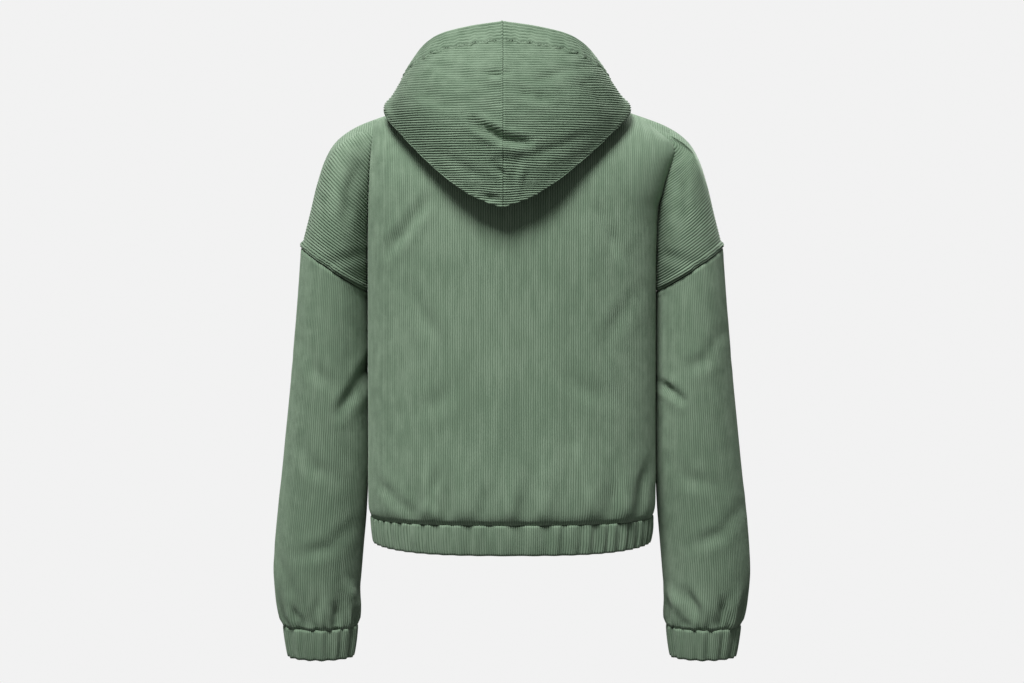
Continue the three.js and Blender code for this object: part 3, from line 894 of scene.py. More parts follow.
@dataclass(frozen=True)
class GroundWeave:
    """Wrong side of the cloth: a plain weave without pile.

    Attributes:
        thread: colour of the raised threads.
        gap: colour between them.
        spacing: from one thread to the next but one, in millimetres.
    """

    thread: Colour = (0.178, 0.248, 0.172)
    gap: Colour = (0.095, 0.145, 0.093)
    spacing: float = 1.1

    def material(self) -> Material:
        """Builds the material."""
        n = Nodes("ground_weave")
        parts = n.add("ShaderNodeSeparateXYZ")
        n.link(n.grain()[1], parts.inputs[0])
        turns = (n.math("MULTIPLY", parts.outputs[k], 2 * math.pi / self.spacing) for k in (0, 1))
        weave = n.step(n.math("MULTIPLY", *(n.math("SINE", turn) for turn in turns)), -0.7, 0.7)
        level = n.blend(weave, 0.7, n.noise(n.place(), 60, 3), 0.3)
        n.bump(weave, 0.0003, 0.5)
        n.surface(
            Base_Color=n.mix(level, self.gap, self.thread),
            Roughness=0.92,
            Specular_IOR_Level=0.15,
            Sheen_Weight=0.15,
        )
        return n.material


@dataclass(frozen=True)
class SewingThread:
    """Twisted thread of the topstitching.

    Attributes:
        light: colour on the twist's ridges.
        dark: colour between them.
    """

    light: Colour = (0.21, 0.29, 0.2)
    dark: Colour = (0.1, 0.15, 0.1)

    def material(self) -> Material:
        """Builds the material."""
        n = Nodes("sewing_thread")
        wave = n.add("ShaderNodeTexWave", wave_type="BANDS", bands_direction="DIAGONAL")
        for name, value in (("Vector", n.place()), ("Scale", 900), ("Distortion", 1.5)):
            n.feed(value, wave.inputs[name])
        n.bump(wave.outputs["Fac"], 0.0001, 0.4)
        n.surface(Base_Color=n.mix(wave.outputs["Fac"], self.dark, self.light), Roughness=0.6)
        return n.material


@dataclass(frozen=True)
class ButtonResin:
    """Cast resin with slow darker clouds.

    Attributes:
        light: main colour.
        dark: colour of the clouds.
    """

    light: Colour = (0.09, 0.14, 0.085)
    dark: Colour = (0.04, 0.065, 0.04)

    def material(self) -> Material:
        """Builds the material."""
        n = Nodes("button_resin")
        clouds = n.step(n.noise(n.place(), 160, 4, 0.6), 0.35, 0.7)
        scratches = n.noise(n.place(), 2200, 2)
        n.bump(scratches, 0.00005, 0.3)
        rough = n.step(scratches, 0.3, 0.8, (0.32, 0.46))
        n.surface(Base_Color=n.mix(clouds, self.dark, self.light), Roughness=rough)
        return n.material


@dataclass(frozen=True)
class Paper:
    """Pale studio paper.

    Attributes:
        colour: its colour.
    """

    colour: Colour = (0.885, 0.885, 0.885)

    def material(self) -> Material:
        """Builds the material, evenly lit by itself."""
        n = Nodes("studio_paper")
        paler = tuple(1.004 * c for c in self.colour)
        n.surface(
            Emission_Color=n.mix(n.noise(n.place(), 40, 2), self.colour, paler),
            Emission_Strength=1.0,
            Base_Color=(0, 0, 0, 1),
            Roughness=1.0,
            Specular_IOR_Level=0.0,
        )
        return n.material


@dataclass
class Wardrobe:
    """The finishes, made once and shared by the pieces."""

    corduroy: Material = field(default_factory=lambda: Corduroy().material())
    weave: Material = field(default_factory=lambda: GroundWeave().material())
    thread: Material = field(default_factory=lambda: SewingThread().material())
    resin: Material = field(default_factory=lambda: ButtonResin().material())


# Sewing


@dataclass
class Stitching:
    """Topstitching: short rounded stitches laid along lines on the cloth.

    Attributes:
        pitch: from one stitch to the next.
        length: length of one stitch.
        radius: radius of the thread.
        rings: places along a stitch and shares of its radius there.
        lines: the lines, each with the cloth's normals along it.
    """

    pitch: float = 3.6
    length: float = 2.7
    radius: float = 0.42
    rings: tuple[tuple[float, float], ...] = ((-0.5, 0.25), (-0.3, 0.9), (0.0, 1.0), (0.3, 0.9), (0.5, 0.25))
    lines: list[tuple[Array, Array]] = field(default_factory=list)

    def add(self, line: Array, normals: Array) -> None:
        """Adds a line with the cloth's normals along it."""
        self.lines.append((line, normals))

    def to_object(self, name: str, wardrobe: Wardrobe) -> Object:
        """Makes all the stitches as one object.

        Args:
            name: the object's name.
            wardrobe: the finishes.

        Returns:
            The object, linked to the scene.
        """
        angles = 2 * math.pi * np.arange(6) / 6
        points, faces = [], []
        for line, normals in self.lines:
            reach = path_lengths(line)
            centres = np.arange(self.pitch, reach[-1] - self.pitch / 2, self.pitch)
            spread = lambda at, values: np.stack([np.interp(at, reach, v) for v in values.T], axis=1)
            at = spread(centres, line)
            along = unit(spread(centres + 1, line) - at)
            beside = unit(np.cross(along, unit(spread(centres, normals))))
            for c, a, b, u in zip(at, along, beside, np.cross(beside, along)):
                faces += tube_faces(len(points), len(self.rings), len(angles), capped=True)
                points += [
                    c + a * (s * self.length) + u * 0.1
                    + self.radius * r * (b * math.cos(t) + u * math.sin(t))
                    for s, r in self.rings
                    for t in angles
                ]
        return plain_object(name, (np.array(points) * MM).tolist(), faces, [wardrobe.thread])


# Body


BACK_CREASES = (
    Crease(((100, -126), (122, -156), (148, -188)), -4.2, 7),
    Crease(((120, -231), (100, -268), (84, -302)), -1.8, 9),
    Crease(((-103, -137), (-116, -165), (-127, -196)), -2.8, 8),
    Crease(((90, -448), (94, -472), (96, -500)), -3.4, 6),
    Crease(((108, -500), (99, -488), (88, -500)), 2.0, 5),
    Crease(((-76, -421), (-84, -458), (-94, -502)), 3.0, 7),
    Crease(((163, -461), (140, -480), (116, -500)), -2.6, 6),
    Crease(((-162, -443), (-155, -472), (-150, -504)), -2.4, 6),
    Crease(((-9, -480), (-10, -504)), -2.0, 6),
    Crease(((30, -470), (36, -504)), -1.8, 7),
    Crease(((-40, -462), (-46, -504)), -1.8, 7),
    Crease(((-120, -470), (-124, -504)), -1.6, 6),
    Crease(((60, -340), (90, -365), (128, -380)), -1.4, 10),
    Crease(((-58, -330), (-92, -352), (-130, -360)), -1.4, 10),
    Crease(((20, -300), (10, -350), (16, -410)), 1.2, 12),
    Crease(((-150, -232), (-128, -262), (-110, -300)), -1.6, 9),
)

FRONT_CREASES = (
    Crease(((60, -150), (95, -172), (140, -205)), -2.4, 8),
    Crease(((150, -236), (128, -268), (104, -305)), -2.2, 9),
    Crease(((62, -440), (66, -470), (70, -503)), -2.6, 6),
    Crease(((110, -450), (106, -478), (102, -503)), 2.4, 6),
    Crease(((150, -462), (144, -484), (140, -503)), -2.2, 6),
    Crease(((40, -330), (70, -352), (120, -368)), -1.4, 10),
    Crease(((84, -235), (70, -290), (74, -350)), -1.3, 11),
)

ARM_CREASES = (
    Crease(((186, -96), (196, -124), (198, -156)), -2.4, 7),
    Crease(((206, -88), (222, -120), (232, -158)), -1.2, 9),
    Crease(((180, -190), (200, -196), (224, -204)), -2.0, 6),
)


@dataclass
class BodyPanel:
    """A back or front: the trunk's cloth and the dropped shoulders that run on from it.

    Attributes:
        face: back or front.
        creases: the trunk's creases.
        seams: takes the stitches beside the armholes.
        low_rows: rows of cloth up to the height of the fold.
        top_rows: rows from there to the neckline or shoulder seam.
        lip_rows: rows of the lip behind the fold.
        arm_rows: rows from the fold to the shoulder line.
        arm_ribs: ribs from the fold's top to the armhole.
        cloth: the panel's mesh.
    """

    face: Face
    creases: tuple[Crease, ...]
    seams: Stitching
    low_rows: int = 72
    top_rows: int = 20
    lip_rows: int = 2
    arm_rows: int = 36
    arm_ribs: int = 48
    cloth: ClothMesh = field(default_factory=ClothMesh)

    def columns(self, hand: Hand, start: float, end: float) -> tuple[Array, Array]:
        """Turns of the columns from one turn to another, with their places in ribs.

        Args:
            hand: left or right, where the bowed fold needs more columns.
            start: first turn.
            end: last turn.

        Returns:
            Turns and places.
        """
        turns = np.linspace(0, 1, 6001) ** 1.6 * 90
        reach = path_lengths(FORM.torso_point(self.face, turns, -320.0))
        upper = mirrored(FORM.torso_point(self.face, turns, -75.0), hand)
        spread = reach + FORM.bow(upper)
        low, high = np.interp([start, end], turns, spread)
        count = round((high - low) / PITCH * STEPS_PER_RIB)
        turn = np.interp(np.linspace(low, high, count + 1), spread, turns)
        turn[[0, -1]] = start, end
        return turn, np.interp(turn, turns, reach) / PITCH

    def level(self, turn: Array) -> tuple[Array, Array]:
        """Height at which the lower rows end, and the height of the top edge."""
        x = FORM.half_width * np.sin(np.radians(turn)) ** (2 / FORM.squareness)
        top = FORM.top(self.face, x)
        part = np.clip((turn - FORM.edge_turn) / (90 - FORM.edge_turn), 0, 1) ** 1.25
        fold = lerp(FORM.fold_top, FORM.armpit, part)
        return np.where(turn > FORM.edge_turn, fold, np.minimum(FORM.fold_top, top - FORM.fold_margin)), top

    def low_heights(self, level: Array) -> Array:
        """Heights of the lower rows."""
        return lerp(FORM.band_top + SEAM, level[:, None], np.linspace(0, 1, self.low_rows)[None])

    def trunk_base(self, turn: Array) -> Array:
        """The trunk's plain form from the hem band up to the neckline."""
        level, top = self.level(turn)
        rise = np.sin(math.pi / 2 * np.arange(1, self.top_rows + 1) / self.top_rows)
        above = lerp(level[:, None], top[:, None], rise[None])
        heights = np.concatenate([self.low_heights(level), above], axis=1)
        return FORM.torso_point(self.face, turn[:, None], heights)

    def side_base(self, turn: Array) -> tuple[Array, Array]:
        """The side's plain form up to the fold, with a lip behind it, and how far each point is tucked."""
        level, _ = self.level(turn)
        low = self.low_heights(level)
        lip = np.arange(1, self.lip_rows + 1) / self.lip_rows
        grow = ease(turn, FORM.edge_turn, FORM.edge_turn + 5)[:, None] * lip[None]
        heights = np.concatenate([low, level[:, None] + 6 * grow], axis=1)
        return FORM.torso_point(self.face, turn[:, None], heights), np.concatenate([0 * low, grow], axis=1)

    def normals(self, base: Array) -> Array:
        """Outward normals of a grid on the panel."""
        return outward_normals(base, base * [0.3, 1, 0.2])

    def both_sides(self, base: Array, normals: Array, lift: Array, smooth: Array) -> tuple[Array, Array]:
        """Right and wrong side of the cloth after the body's folds.

        Args:
            base: the cloth's plain form.
            normals: its normals.
            lift: relief of the right side.
            smooth: the same without its ribs.

        Returns:
            Both sides.
        """
        sides = []
        for height in (lift, smooth - WALL):
            points = FORM.shape_body(base + normals * height[..., None])
            away = np.maximum(self.face.value * points[..., 1], SHOWN_GAP / 2)
            points[..., 1] = self.face.value * away
            if self.face is Face.FRONT:
                hand = np.where(base[..., 0].mean() < 0, -1, 1)
                points[..., 0] = hand * np.maximum(hand * points[..., 0], SHOWN_GAP / 2)
            sides.append(points)
        return sides[0], sides[1]

    def ribs_at(self, ribs: Array, base: Array) -> Array:
        """Places in ribs where the ribs stay upright in the bowed cloth."""
        return ribs[:, None] + FORM.bow(base) / PITCH

    def ribs_on(self, place: Array, base: Array) -> Array:
        """Relief of the ribs, lower at the panel's seams."""
        z, x = base[..., 2], np.abs(base[..., 0])
        at_seam = ease(z, FORM.band_top, FORM.band_top + 3) * ease(FORM.top(self.face, x) - z, 0.2, 3)
        spread = 1 - 0.9 * ease(FORM.bow(base), 0.4, 3)
        return rib_relief(place) * lerp(0.35, 1, at_seam) * spread

    def build(self, hands: tuple[Hand, ...]) -> ClothMesh:
        """Makes the whole panel.

        Args:
            hands: one hand, or both for a panel in one piece.

        Returns:
            The panel's mesh.
        """
        parts = []
        for hand in hands:
            turn, ribs = self.columns(hand, 0.0, FORM.edge_turn)
            base = mirrored(self.trunk_base(turn), hand)
            parts.append((base, hand.value * self.ribs_at(ribs, base)))
        (base, place), joined = parts[0], (Edge.LAST,)
        if len(parts) == 2:
            base, place = (np.concatenate([right[:0:-1], left]) for left, right in zip(*parts))
            joined = (Edge.FIRST, Edge.LAST)
        smooth = relief_of(self.creases, base)
        outer, inner = self.both_sides(base, self.normals(base), smooth + self.ribs_on(place, base), smooth)
        self.cloth.add_shell(outer, inner, grain_at(place, base[..., 2]), (6, 1), joined)
        for hand in hands:
            column = 0 if len(hands) == 2 and hand is Hand.RIGHT else -1
            self.build_side(hand, outer[column], inner[column])
            self.build_shoulder(hand, outer[column], inner[column])
        return self.cloth

    def build_side(self, hand: Hand, outer_edge: Array, inner_edge: Array) -> None:
        """Adds the side of the trunk under the arm.

        Args:
            hand: left or right.
            outer_edge: right side of the column that it runs on from.
            inner_edge: wrong side of the same.
        """
        turn, ribs = self.columns(hand, FORM.edge_turn, 90.0)
        base, tucked = self.side_base(turn)
        base = mirrored(base, hand)
        place = hand.value * self.ribs_at(ribs, base)
        smooth = relief_of(self.creases, base) - 2.2 * tucked
        outer, inner = self.both_sides(base, self.normals(base), smooth + self.ribs_on(place, base), smooth)
        low = self.low_rows
        for points, edge in ((outer, outer_edge), (inner, inner_edge)):
            points[0, :low] = edge[:low]
            points[0, low:] = edge[low - 1]
        self.cloth.add_shell(outer, inner, grain_at(place, base[..., 2]), (6, 1), (Edge.FIRST,))

    @property
    def split(self) -> int:
        """Row at which the dropped shoulder's open ribs end."""
        return round(0.75 * self.arm_rows)

    def arm_grid(self) -> tuple[Array, Array, Array]:
        """Parts and places of the dropped shoulder's ribs, which fan out towards the shoulder.

        Returns:
            Parts and places along, columns x rows, and each column's place in ribs.
        """
        count = self.arm_ribs * STEPS_PER_RIB
        share = np.arange(count + 1) / count
        # The ribs lie closer together towards the armhole
        start = (-0.62 + np.sqrt(0.62**2 + 0.5 * 0.745 * share)) / 0.25
        start[-1] = 1
        ends = ((0, 0.05, 0.12, 0.25, 0.4, 0.6, 1), (0.22, 0.32, 0.42, 0.58, 0.74, 0.92, 1))
        limit = np.interp(start, *ends)[:, None]
        open_rows = limit * np.linspace(0, 1, self.split + 1)[None]
        band_rows = lerp(limit, 1.0, np.linspace(0, 1, self.arm_rows - self.split + 1)[None])
        along = np.concatenate([open_rows, band_rows[:, 1:]], axis=1)
        fan = 0.3 * (1 - start) ** 1.1
        return np.clip(start[:, None] - fan[:, None] * along**1.3, 0, 1), along, share * self.arm_ribs

    def arm_normals(self, part: Array, along: Array, base: Array) -> Array:
        """Outward normals of the dropped shoulder."""
        step = 0.004
        low, high = np.clip(part - step, 0, 1), np.clip(part + step, 0, 1)
        left, right = np.clip(along - step, 0, 1), np.clip(along + step, 0, 1)
        across = FORM.arm_point(self.face, high, along) - FORM.arm_point(self.face, low, along)
        up = FORM.arm_point(self.face, part, right) - FORM.arm_point(self.face, part, left)
        normals = unit(np.cross(across, up))
        away = base - FORM.fold_point(self.face, np.array(1.0)) * [1, 0, 1]
        return normals * np.sign((normals * away)[60:].sum(-1).mean())

    def build_shoulder(self, hand: Hand, outer_edge: Array, inner_edge: Array) -> None:
        """Adds the dropped shoulder and the cloth above its fold.

        Args:
            hand: left or right.
            outer_edge: right side of the trunk's last column.
            inner_edge: wrong side of the same.
        """
        part, along, ribs = self.arm_grid()
        base = FORM.arm_point(self.face, part, along)
        normals = mirrored(self.arm_normals(part, along, base), hand)
        gap = (1 - part) * FORM.shoulder_reach
        girth = TURN * path_lengths(base[-1])[None]
        row = np.arange(self.arm_rows + 1)[None]
        opened = np.where(row < self.split, 1 - 0.4 * ease(along, 0.45, 0.95), 0.1)
        height = ease(part, 0, 0.03) * opened * lerp(0.5, 1, ease(gap, 0.5, 3))
        seam = 1.7 * bell(gap - 4.8, 3.4) - 0.9 * bell(gap, 1.3)
        scallop = 1 + 0.55 * np.sin(girth / 10.5 + 1) + 0.4 * np.sin(girth / 6.1 + gap / 3)
        tuck = 0.9 * (1 - ease(along, 0, 0.04)) * ease(part, 0, 0.08)
        smooth = seam * scallop + relief_of(ARM_CREASES, base) - tuck
        lift = smooth + rib_relief(ribs[:, None], OPEN_RIB_HEIGHT) * height
        outer, inner = self.both_sides(mirrored(base, hand), normals, lift, smooth)
        for points, edge in ((outer, outer_edge), (inner, inner_edge)):
            points[0, 0] = edge[self.low_rows - 1]
        slanting = grain_at(ribs[:, None] * hand.value, path_lengths(base))
        upright = outer[..., [0, 2]] / [PITCH, 1]
        for rows, grain, edge in (
            (np.s_[:, : self.split + 1], slanting, Edge.HIGH),
            (np.s_[:, self.split :], upright, Edge.LOW),
        ):
            self.cloth.add_shell(outer[rows], inner[rows], grain[rows], joined=(Edge.FIRST, edge))
        for share in (0.982, 0.951):
            column = round(share * (len(ribs) - 1))
            self.seams.add(outer[column, 1:-1], normals[column, 1:-1])
        self.build_corner(hand, (outer_edge, outer[0]), (inner_edge, inner[0]))

    def build_corner(
        self, hand: Hand, outer_edges: tuple[Array, Array], inner_edges: tuple[Array, Array]
    ) -> None:
        """Adds the cloth above the fold, whose ribs stay upright.

        Args:
            hand: left or right.
            outer_edges: right side of the trunk's last and the shoulder's first column.
            inner_edges: wrong side of the same.
        """
        _, ribs = self.columns(hand, FORM.edge_turn - 5, FORM.edge_turn)
        edge = FORM.torso_point(self.face, FORM.edge_turn, FORM.fold_top)[0]
        top = float(FORM.top(self.face, edge))
        dense = np.linspace(0, 1, 401)
        heights = lerp(FORM.fold_top, top, np.sin(math.pi / 2 * dense))
        trunk = FORM.torso_point(self.face, FORM.turn_at(np.full(401, edge), heights), heights)
        arm = FORM.arm_point(self.face, 0.0, dense)
        start = self.arm_grid()[1][0]
        place = lerp(start[:, None], 1.0, np.linspace(0, 1, self.top_rows + 1)[None])
        on_trunk, on_arm = ([np.interp(place, dense, line[:, k]) for k in range(3)] for line in (trunk, arm))
        across = np.interp(start, dense, arm[:, 0])
        share = np.clip((across[:, None] - on_trunk[0]) / np.maximum(on_arm[0] - on_trunk[0], 0.4), 0, 1)
        base = np.stack([lerp(a, b, share) for a, b in zip(on_trunk, on_arm)], axis=-1)
        base[..., 0] = across[:, None]
        chord = lerp(top, arm[-1, 2], (across - edge) / (across[-1] - edge))
        base[..., 2] += (FORM.ridge(across) - chord)[:, None] * place**3
        base = mirrored(base, hand)
        normals = self.normals(base)
        normals[-1] = normals[-2]
        places = self.ribs_at(ribs[-1] + (across - edge) / PITCH, base)
        lift = self.ribs_on(places, base) * 0.6
        outer, inner = self.both_sides(base, normals, lift, 0 * lift)
        for points, (first, low) in ((outer, outer_edges), (inner, inner_edges)):
            points[0] = first[self.low_rows - 1 :]
            points[:, 0] = low
        grain = grain_at(places * hand.value, base[..., 2])
        self.cloth.add_shell(outer, inner, grain, joined=(Edge.FIRST, Edge.LOW))


@dataclass
class Body:
    """Back and two fronts."""

    wardrobe: Wardrobe
    seams: Stitching

    def back(self) -> Object:
        """Builds the back, in one piece with its dropped shoulders."""
        cloth = BodyPanel(Face.BACK, BACK_CREASES, self.seams).build((Hand.LEFT, Hand.RIGHT))
        piece = cloth.to_object("back_panel", self.wardrobe, tidy=True)
        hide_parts("back")
        return piece

    def front(self, hand: Hand) -> Object:
        """Builds one front.

        Args:
            hand: left or right.

        Returns:
            The piece.
        """
        share = 1.1 if hand is Hand.LEFT else 0.85
        creases = tuple(
            Crease(tuple((x * hand.value, z) for x, z in c.path), c.height * share, c.width)
            for c in FRONT_CREASES
        )
        panel = BodyPanel(Face.FRONT, creases, self.seams, low_rows=56, top_rows=16, arm_rows=26)
        name = hand.name.lower()
        piece = panel.build((hand,)).to_object(f"front_panel_{name}", self.wardrobe, tidy=True)
        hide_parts(f"front_{name}")
        return piece


# Sleeves, cuffs and hem band


# Height, centre across and back, half width and half depth, and tilt in degrees
SLEEVE_ROWS = (
    (-245, 217.8, -1, 45, 63, 22),
    (-290, 219.9, -3, 45, 63, 12),
    (-340, 222.4, -5, 46.7, 62, 5),
    (-400, 225.7, -8, 49.8, 60, 2),
    (-450, 228.6, -11, 52.4, 58, 0),
    (-500, 232.8, -15, 54.2, 57, 0),
    (-550, 237.5, -19, 54.5, 56, 0),
    (-590, 240, -22, 53.5, 54, 0),
    (-620, 239.5, -24, 50.5, 51, 0),
    (-640, 237.8, -25, 47.2, 47, 0),
    (-650, 236.8, -25, 44.8, 44, 0),
)
CUFF_TOP = (-650.5, 236.8, -25, 44.8, 44, 0)
CUFF_BOTTOM = (-689, 236.5, -27, 39.5, 38, 0)

LEFT_SLEEVE_CREASES = (
    Crease(((170, -318), (188, -350), (208, -382)), -4.2, 7),
    Crease(((250, -300), (236, -330), (214, -352)), -1.8, 8),
    Crease(((255, -420), (238, -448), (212, -462)), -1.6, 9),
    Crease(((196, -520), (220, -546), (262, -556)), -1.8, 8),
    Crease(((268, -620), (262, -640), (258, -652)), -4.2, 5),
    Crease(((214, -618), (212, -638), (214, -652)), -4.0, 5),
    Crease(((200, -596), (196, -612), (190, -630)), 3.0, 6),
    Crease(((236, -606), (238, -630), (237, -652)), -2.6, 5),
    Crease(((284, -560), (272, -590), (266, -616)), -1.6, 7),
)

RIGHT_SLEEVE_CREASES = (
    Crease(((-178, -345), (-190, -354), (-205, -366)), -4.2, 5),
    Crease(((-250, -286), (-232, -316), (-206, -330)), -1.8, 8),
    Crease(((-190, -440), (-214, -462), (-250, -470)), -1.6, 9),
    Crease(((-276, -500), (-254, -528), (-216, -544)), -2.0, 8),
    Crease(((-194, -606), (-206, -624), (-220, -642)), 3.6, 6),
    Crease(((-212, -600), (-226, -624), (-232, -652)), -3.4, 5),
    Crease(((-256, -612), (-258, -634), (-256, -652)), -3.2, 5),
    Crease(((-276, -600), (-274, -628), (-270, -650)), 2.2, 6),
)

FRONT_SLEEVE_CREASES = (
    Crease(((262, -318), (240, -350), (206, -366)), -3.4, 7),
    Crease(((180, -300), (200, -322), (230, -330)), -2.0, 8),
    Crease(((190, -400), (216, -424), (258, -430)), -2.6, 8),
    Crease(((276, -470), (250, -500), (210, -512)), -1.8, 9),
    Crease(((228, -604), (232, -630), (230, -652)), -3.4, 5),
    Crease(((258, -600), (262, -628), (258, -652)), 2.6, 6),
    Crease(((206, -610), (204, -632), (208, -652)), -2.8, 5),
)


@dataclass
class Sleeve:
    """A sleeve with its gathered cuff.

    Attributes:
        hand: left or right.
        wardrobe: the finishes.
        rows: rows of cloth down the sleeve.
        cuff_rows: rows down the cuff.
        cuff_waves: gathers round the cuff.
        cuff_fullness: length of the cuff's cloth to the way round it.
    """

    hand: Hand
    wardrobe: Wardrobe
    rows: int = 99
    cuff_rows: int = 12
    cuff_waves: int = 16
    cuff_fullness: float = 1.12

    @staticmethod
    def section(row: tuple[float, ...], angle: Array) -> Array:
        """Points round a section on the wearer's left. Angle 0 is the outer side, 90 degrees the back."""
        z, x, y, wide, deep, tilt = row
        across = wide * np.cos(angle)
        lean = math.radians(tilt)
        places = (x + across * math.cos(lean), y + deep * np.sin(angle), z + across * math.sin(lean))
        return np.stack(places, axis=-1)

    def angles(self, row: tuple[float, ...], fullness: float) -> Array:
        """Angles that are evenly spaced on the cloth, a whole number of ribs round.

        Args:
            row: sizes of the section.
            fullness: length of the cloth to the way round it.

        Returns:
            The angles.
        """
        dense = np.linspace(0, TURN, 2001)
        reach = path_lengths(self.section(row, dense))
        count = round(fullness * reach[-1] / PITCH) * STEPS_PER_RIB
        return np.interp(reach[-1] * np.arange(count) / count, reach, dense)

    def tube(self, angle: Array) -> Array:
        """The sleeve's plain form: columns round it x rows down it."""
        along = 1 - np.arccos(np.cos(angle)) / math.pi
        back, front = (FORM.arm_point(face, 1.0, along) for face in (Face.BACK, Face.FRONT))
        ring = np.where((np.sin(angle) >= 0)[:, None], back, front)
        outer_end = FORM.shoulder_point(np.array(1.0))
        slope = unit((outer_end - FORM.fold_point(Face.BACK, 1.0)) * [1, 0, 1])
        down = np.array([slope[2], 0, -slope[0]])
        rings = [ring + SEAM * down] + [self.section(row, angle) for row in SLEEVE_ROWS]
        points = np.stack(rings, axis=1)
        reach = path_lengths(points).mean(axis=0)
        places = np.linspace(0, reach[-1], self.rows + 1)
        return rounded_path(points, np.interp(places, reach, np.linspace(0, 1, len(reach))))

    def gathers(self, angle: Array, z: Array) -> Array:
        """Height of the gathers that run up from the cuff."""
        wide = np.sin(8 * angle + 0.6) * (1 - ease(z, -642, -595)) * ease(z, -650, -642)
        fine = np.sin(23 * angle + 1.2) + 0.7 * np.sin(31 * angle)
        return 2.4 * wide + 0.7 * fine * (1 - ease(z, -650, -618))

    def creases(self, base: Array, normals: Array) -> Array:
        """Relief of the sleeve's creases: its own ones at the back, similar ones at the front."""
        back, share = (LEFT_SLEEVE_CREASES, 1.0) if self.hand is Hand.LEFT else (RIGHT_SLEEVE_CREASES, 0.85)
        at_back = ease(normals[..., 1], -0.3, 0.25)
        behind = relief_of(back, mirrored(base, self.hand))
        return behind * at_back + relief_of(FRONT_SLEEVE_CREASES, base) * (1 - at_back) * share

    def add_tube(
        self, base: Array, normals: Array, lifts: tuple[Array, Array], grain: Array, step: tuple[int, int]
    ) -> ClothMesh:
        """Makes the mesh of a tube of cloth.

        Args:
            base: the tube's plain form.
            normals: its outward normals.
            lifts: relief of the right and of the wrong side.
            grain: place in the cloth of each point.
            step: columns and rows to one of the wrong side.

        Returns:
            The mesh.
        """
        outer, inner = (mirrored(base + normals * lift[..., None], self.hand) for lift in lifts)
        cloth = ClothMesh()
        cloth.add_shell(outer, inner, grain, step, around=True)
        return cloth

    def build(self) -> list[Object]:
        """Builds the sleeve and the cuff."""
        angle = self.angles(SLEEVE_ROWS[4], 1.0)
        base = self.tube(angle)
        normals = outward_normals(base, base - base.mean(axis=0), around=True)
        ribs = rib_places(len(angle) // STEPS_PER_RIB)[:, None]
        reach = path_lengths(base)
        smooth = self.gathers(angle[:, None], base[..., 2]) + self.creases(base, normals)
        seam = 0.9 * bell(reach - 2.4, 2.4) - 0.2 * bell(reach, 1.0)
        scallop = 1 + 0.3 * np.sin(TURN * path_lengths(base[:, 0])[:, None] / 8)
        lift = rib_relief(ribs[:-1]) * ease(reach, -2, 2.5) + smooth + seam * scallop
        grain = grain_at(ribs, np.vstack([reach, reach[:1]]))
        cloth = self.add_tube(base, normals, (lift, smooth - WALL), grain, (6, 2))
        name = self.hand.name.lower()
        sleeve = cloth.to_object(f"sleeve_cloth_{name}", self.wardrobe)
        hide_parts(f"sleeve_{name}")
        return [sleeve, self.cuff()]

    def cuff(self) -> Object:
        """Builds the cuff, drawn in by the elastic inside it."""
        angle = self.angles(CUFF_TOP, self.cuff_fullness)
        share = np.linspace(0, 1, self.cuff_rows + 1)
        top, bottom = (self.section(row, angle)[:, None] for row in (CUFF_TOP, CUFF_BOTTOM))
        base = lerp(top, bottom, share[None, :, None])
        normals = outward_normals(base, base - base.mean(axis=0), around=True)
        turned = angle[:, None]
        wave = 1.3 * np.sin(self.cuff_waves * turned) * (1 + 0.25 * np.sin(5 * turned))
        wave = wave + 0.5 * np.sin(27 * turned + 1) * np.sin(math.pi * share)
        smooth = wave + 0.9 * np.sin(math.pi * share) ** 0.5
        place = rib_places(len(angle) // STEPS_PER_RIB)[:, None]
        grain = grain_at(place, share * (CUFF_TOP[0] - CUFF_BOTTOM[0]))
        lifts = (rib_relief(place[:-1]) + smooth, smooth - WALL)
        cloth = self.add_tube(base, normals, lifts, grain, (2, 3))
        name = self.hand.name.lower()
        piece = cloth.to_object(f"cuff_cloth_{name}", self.wardrobe)
        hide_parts(f"cuff_{name}")
        return piece


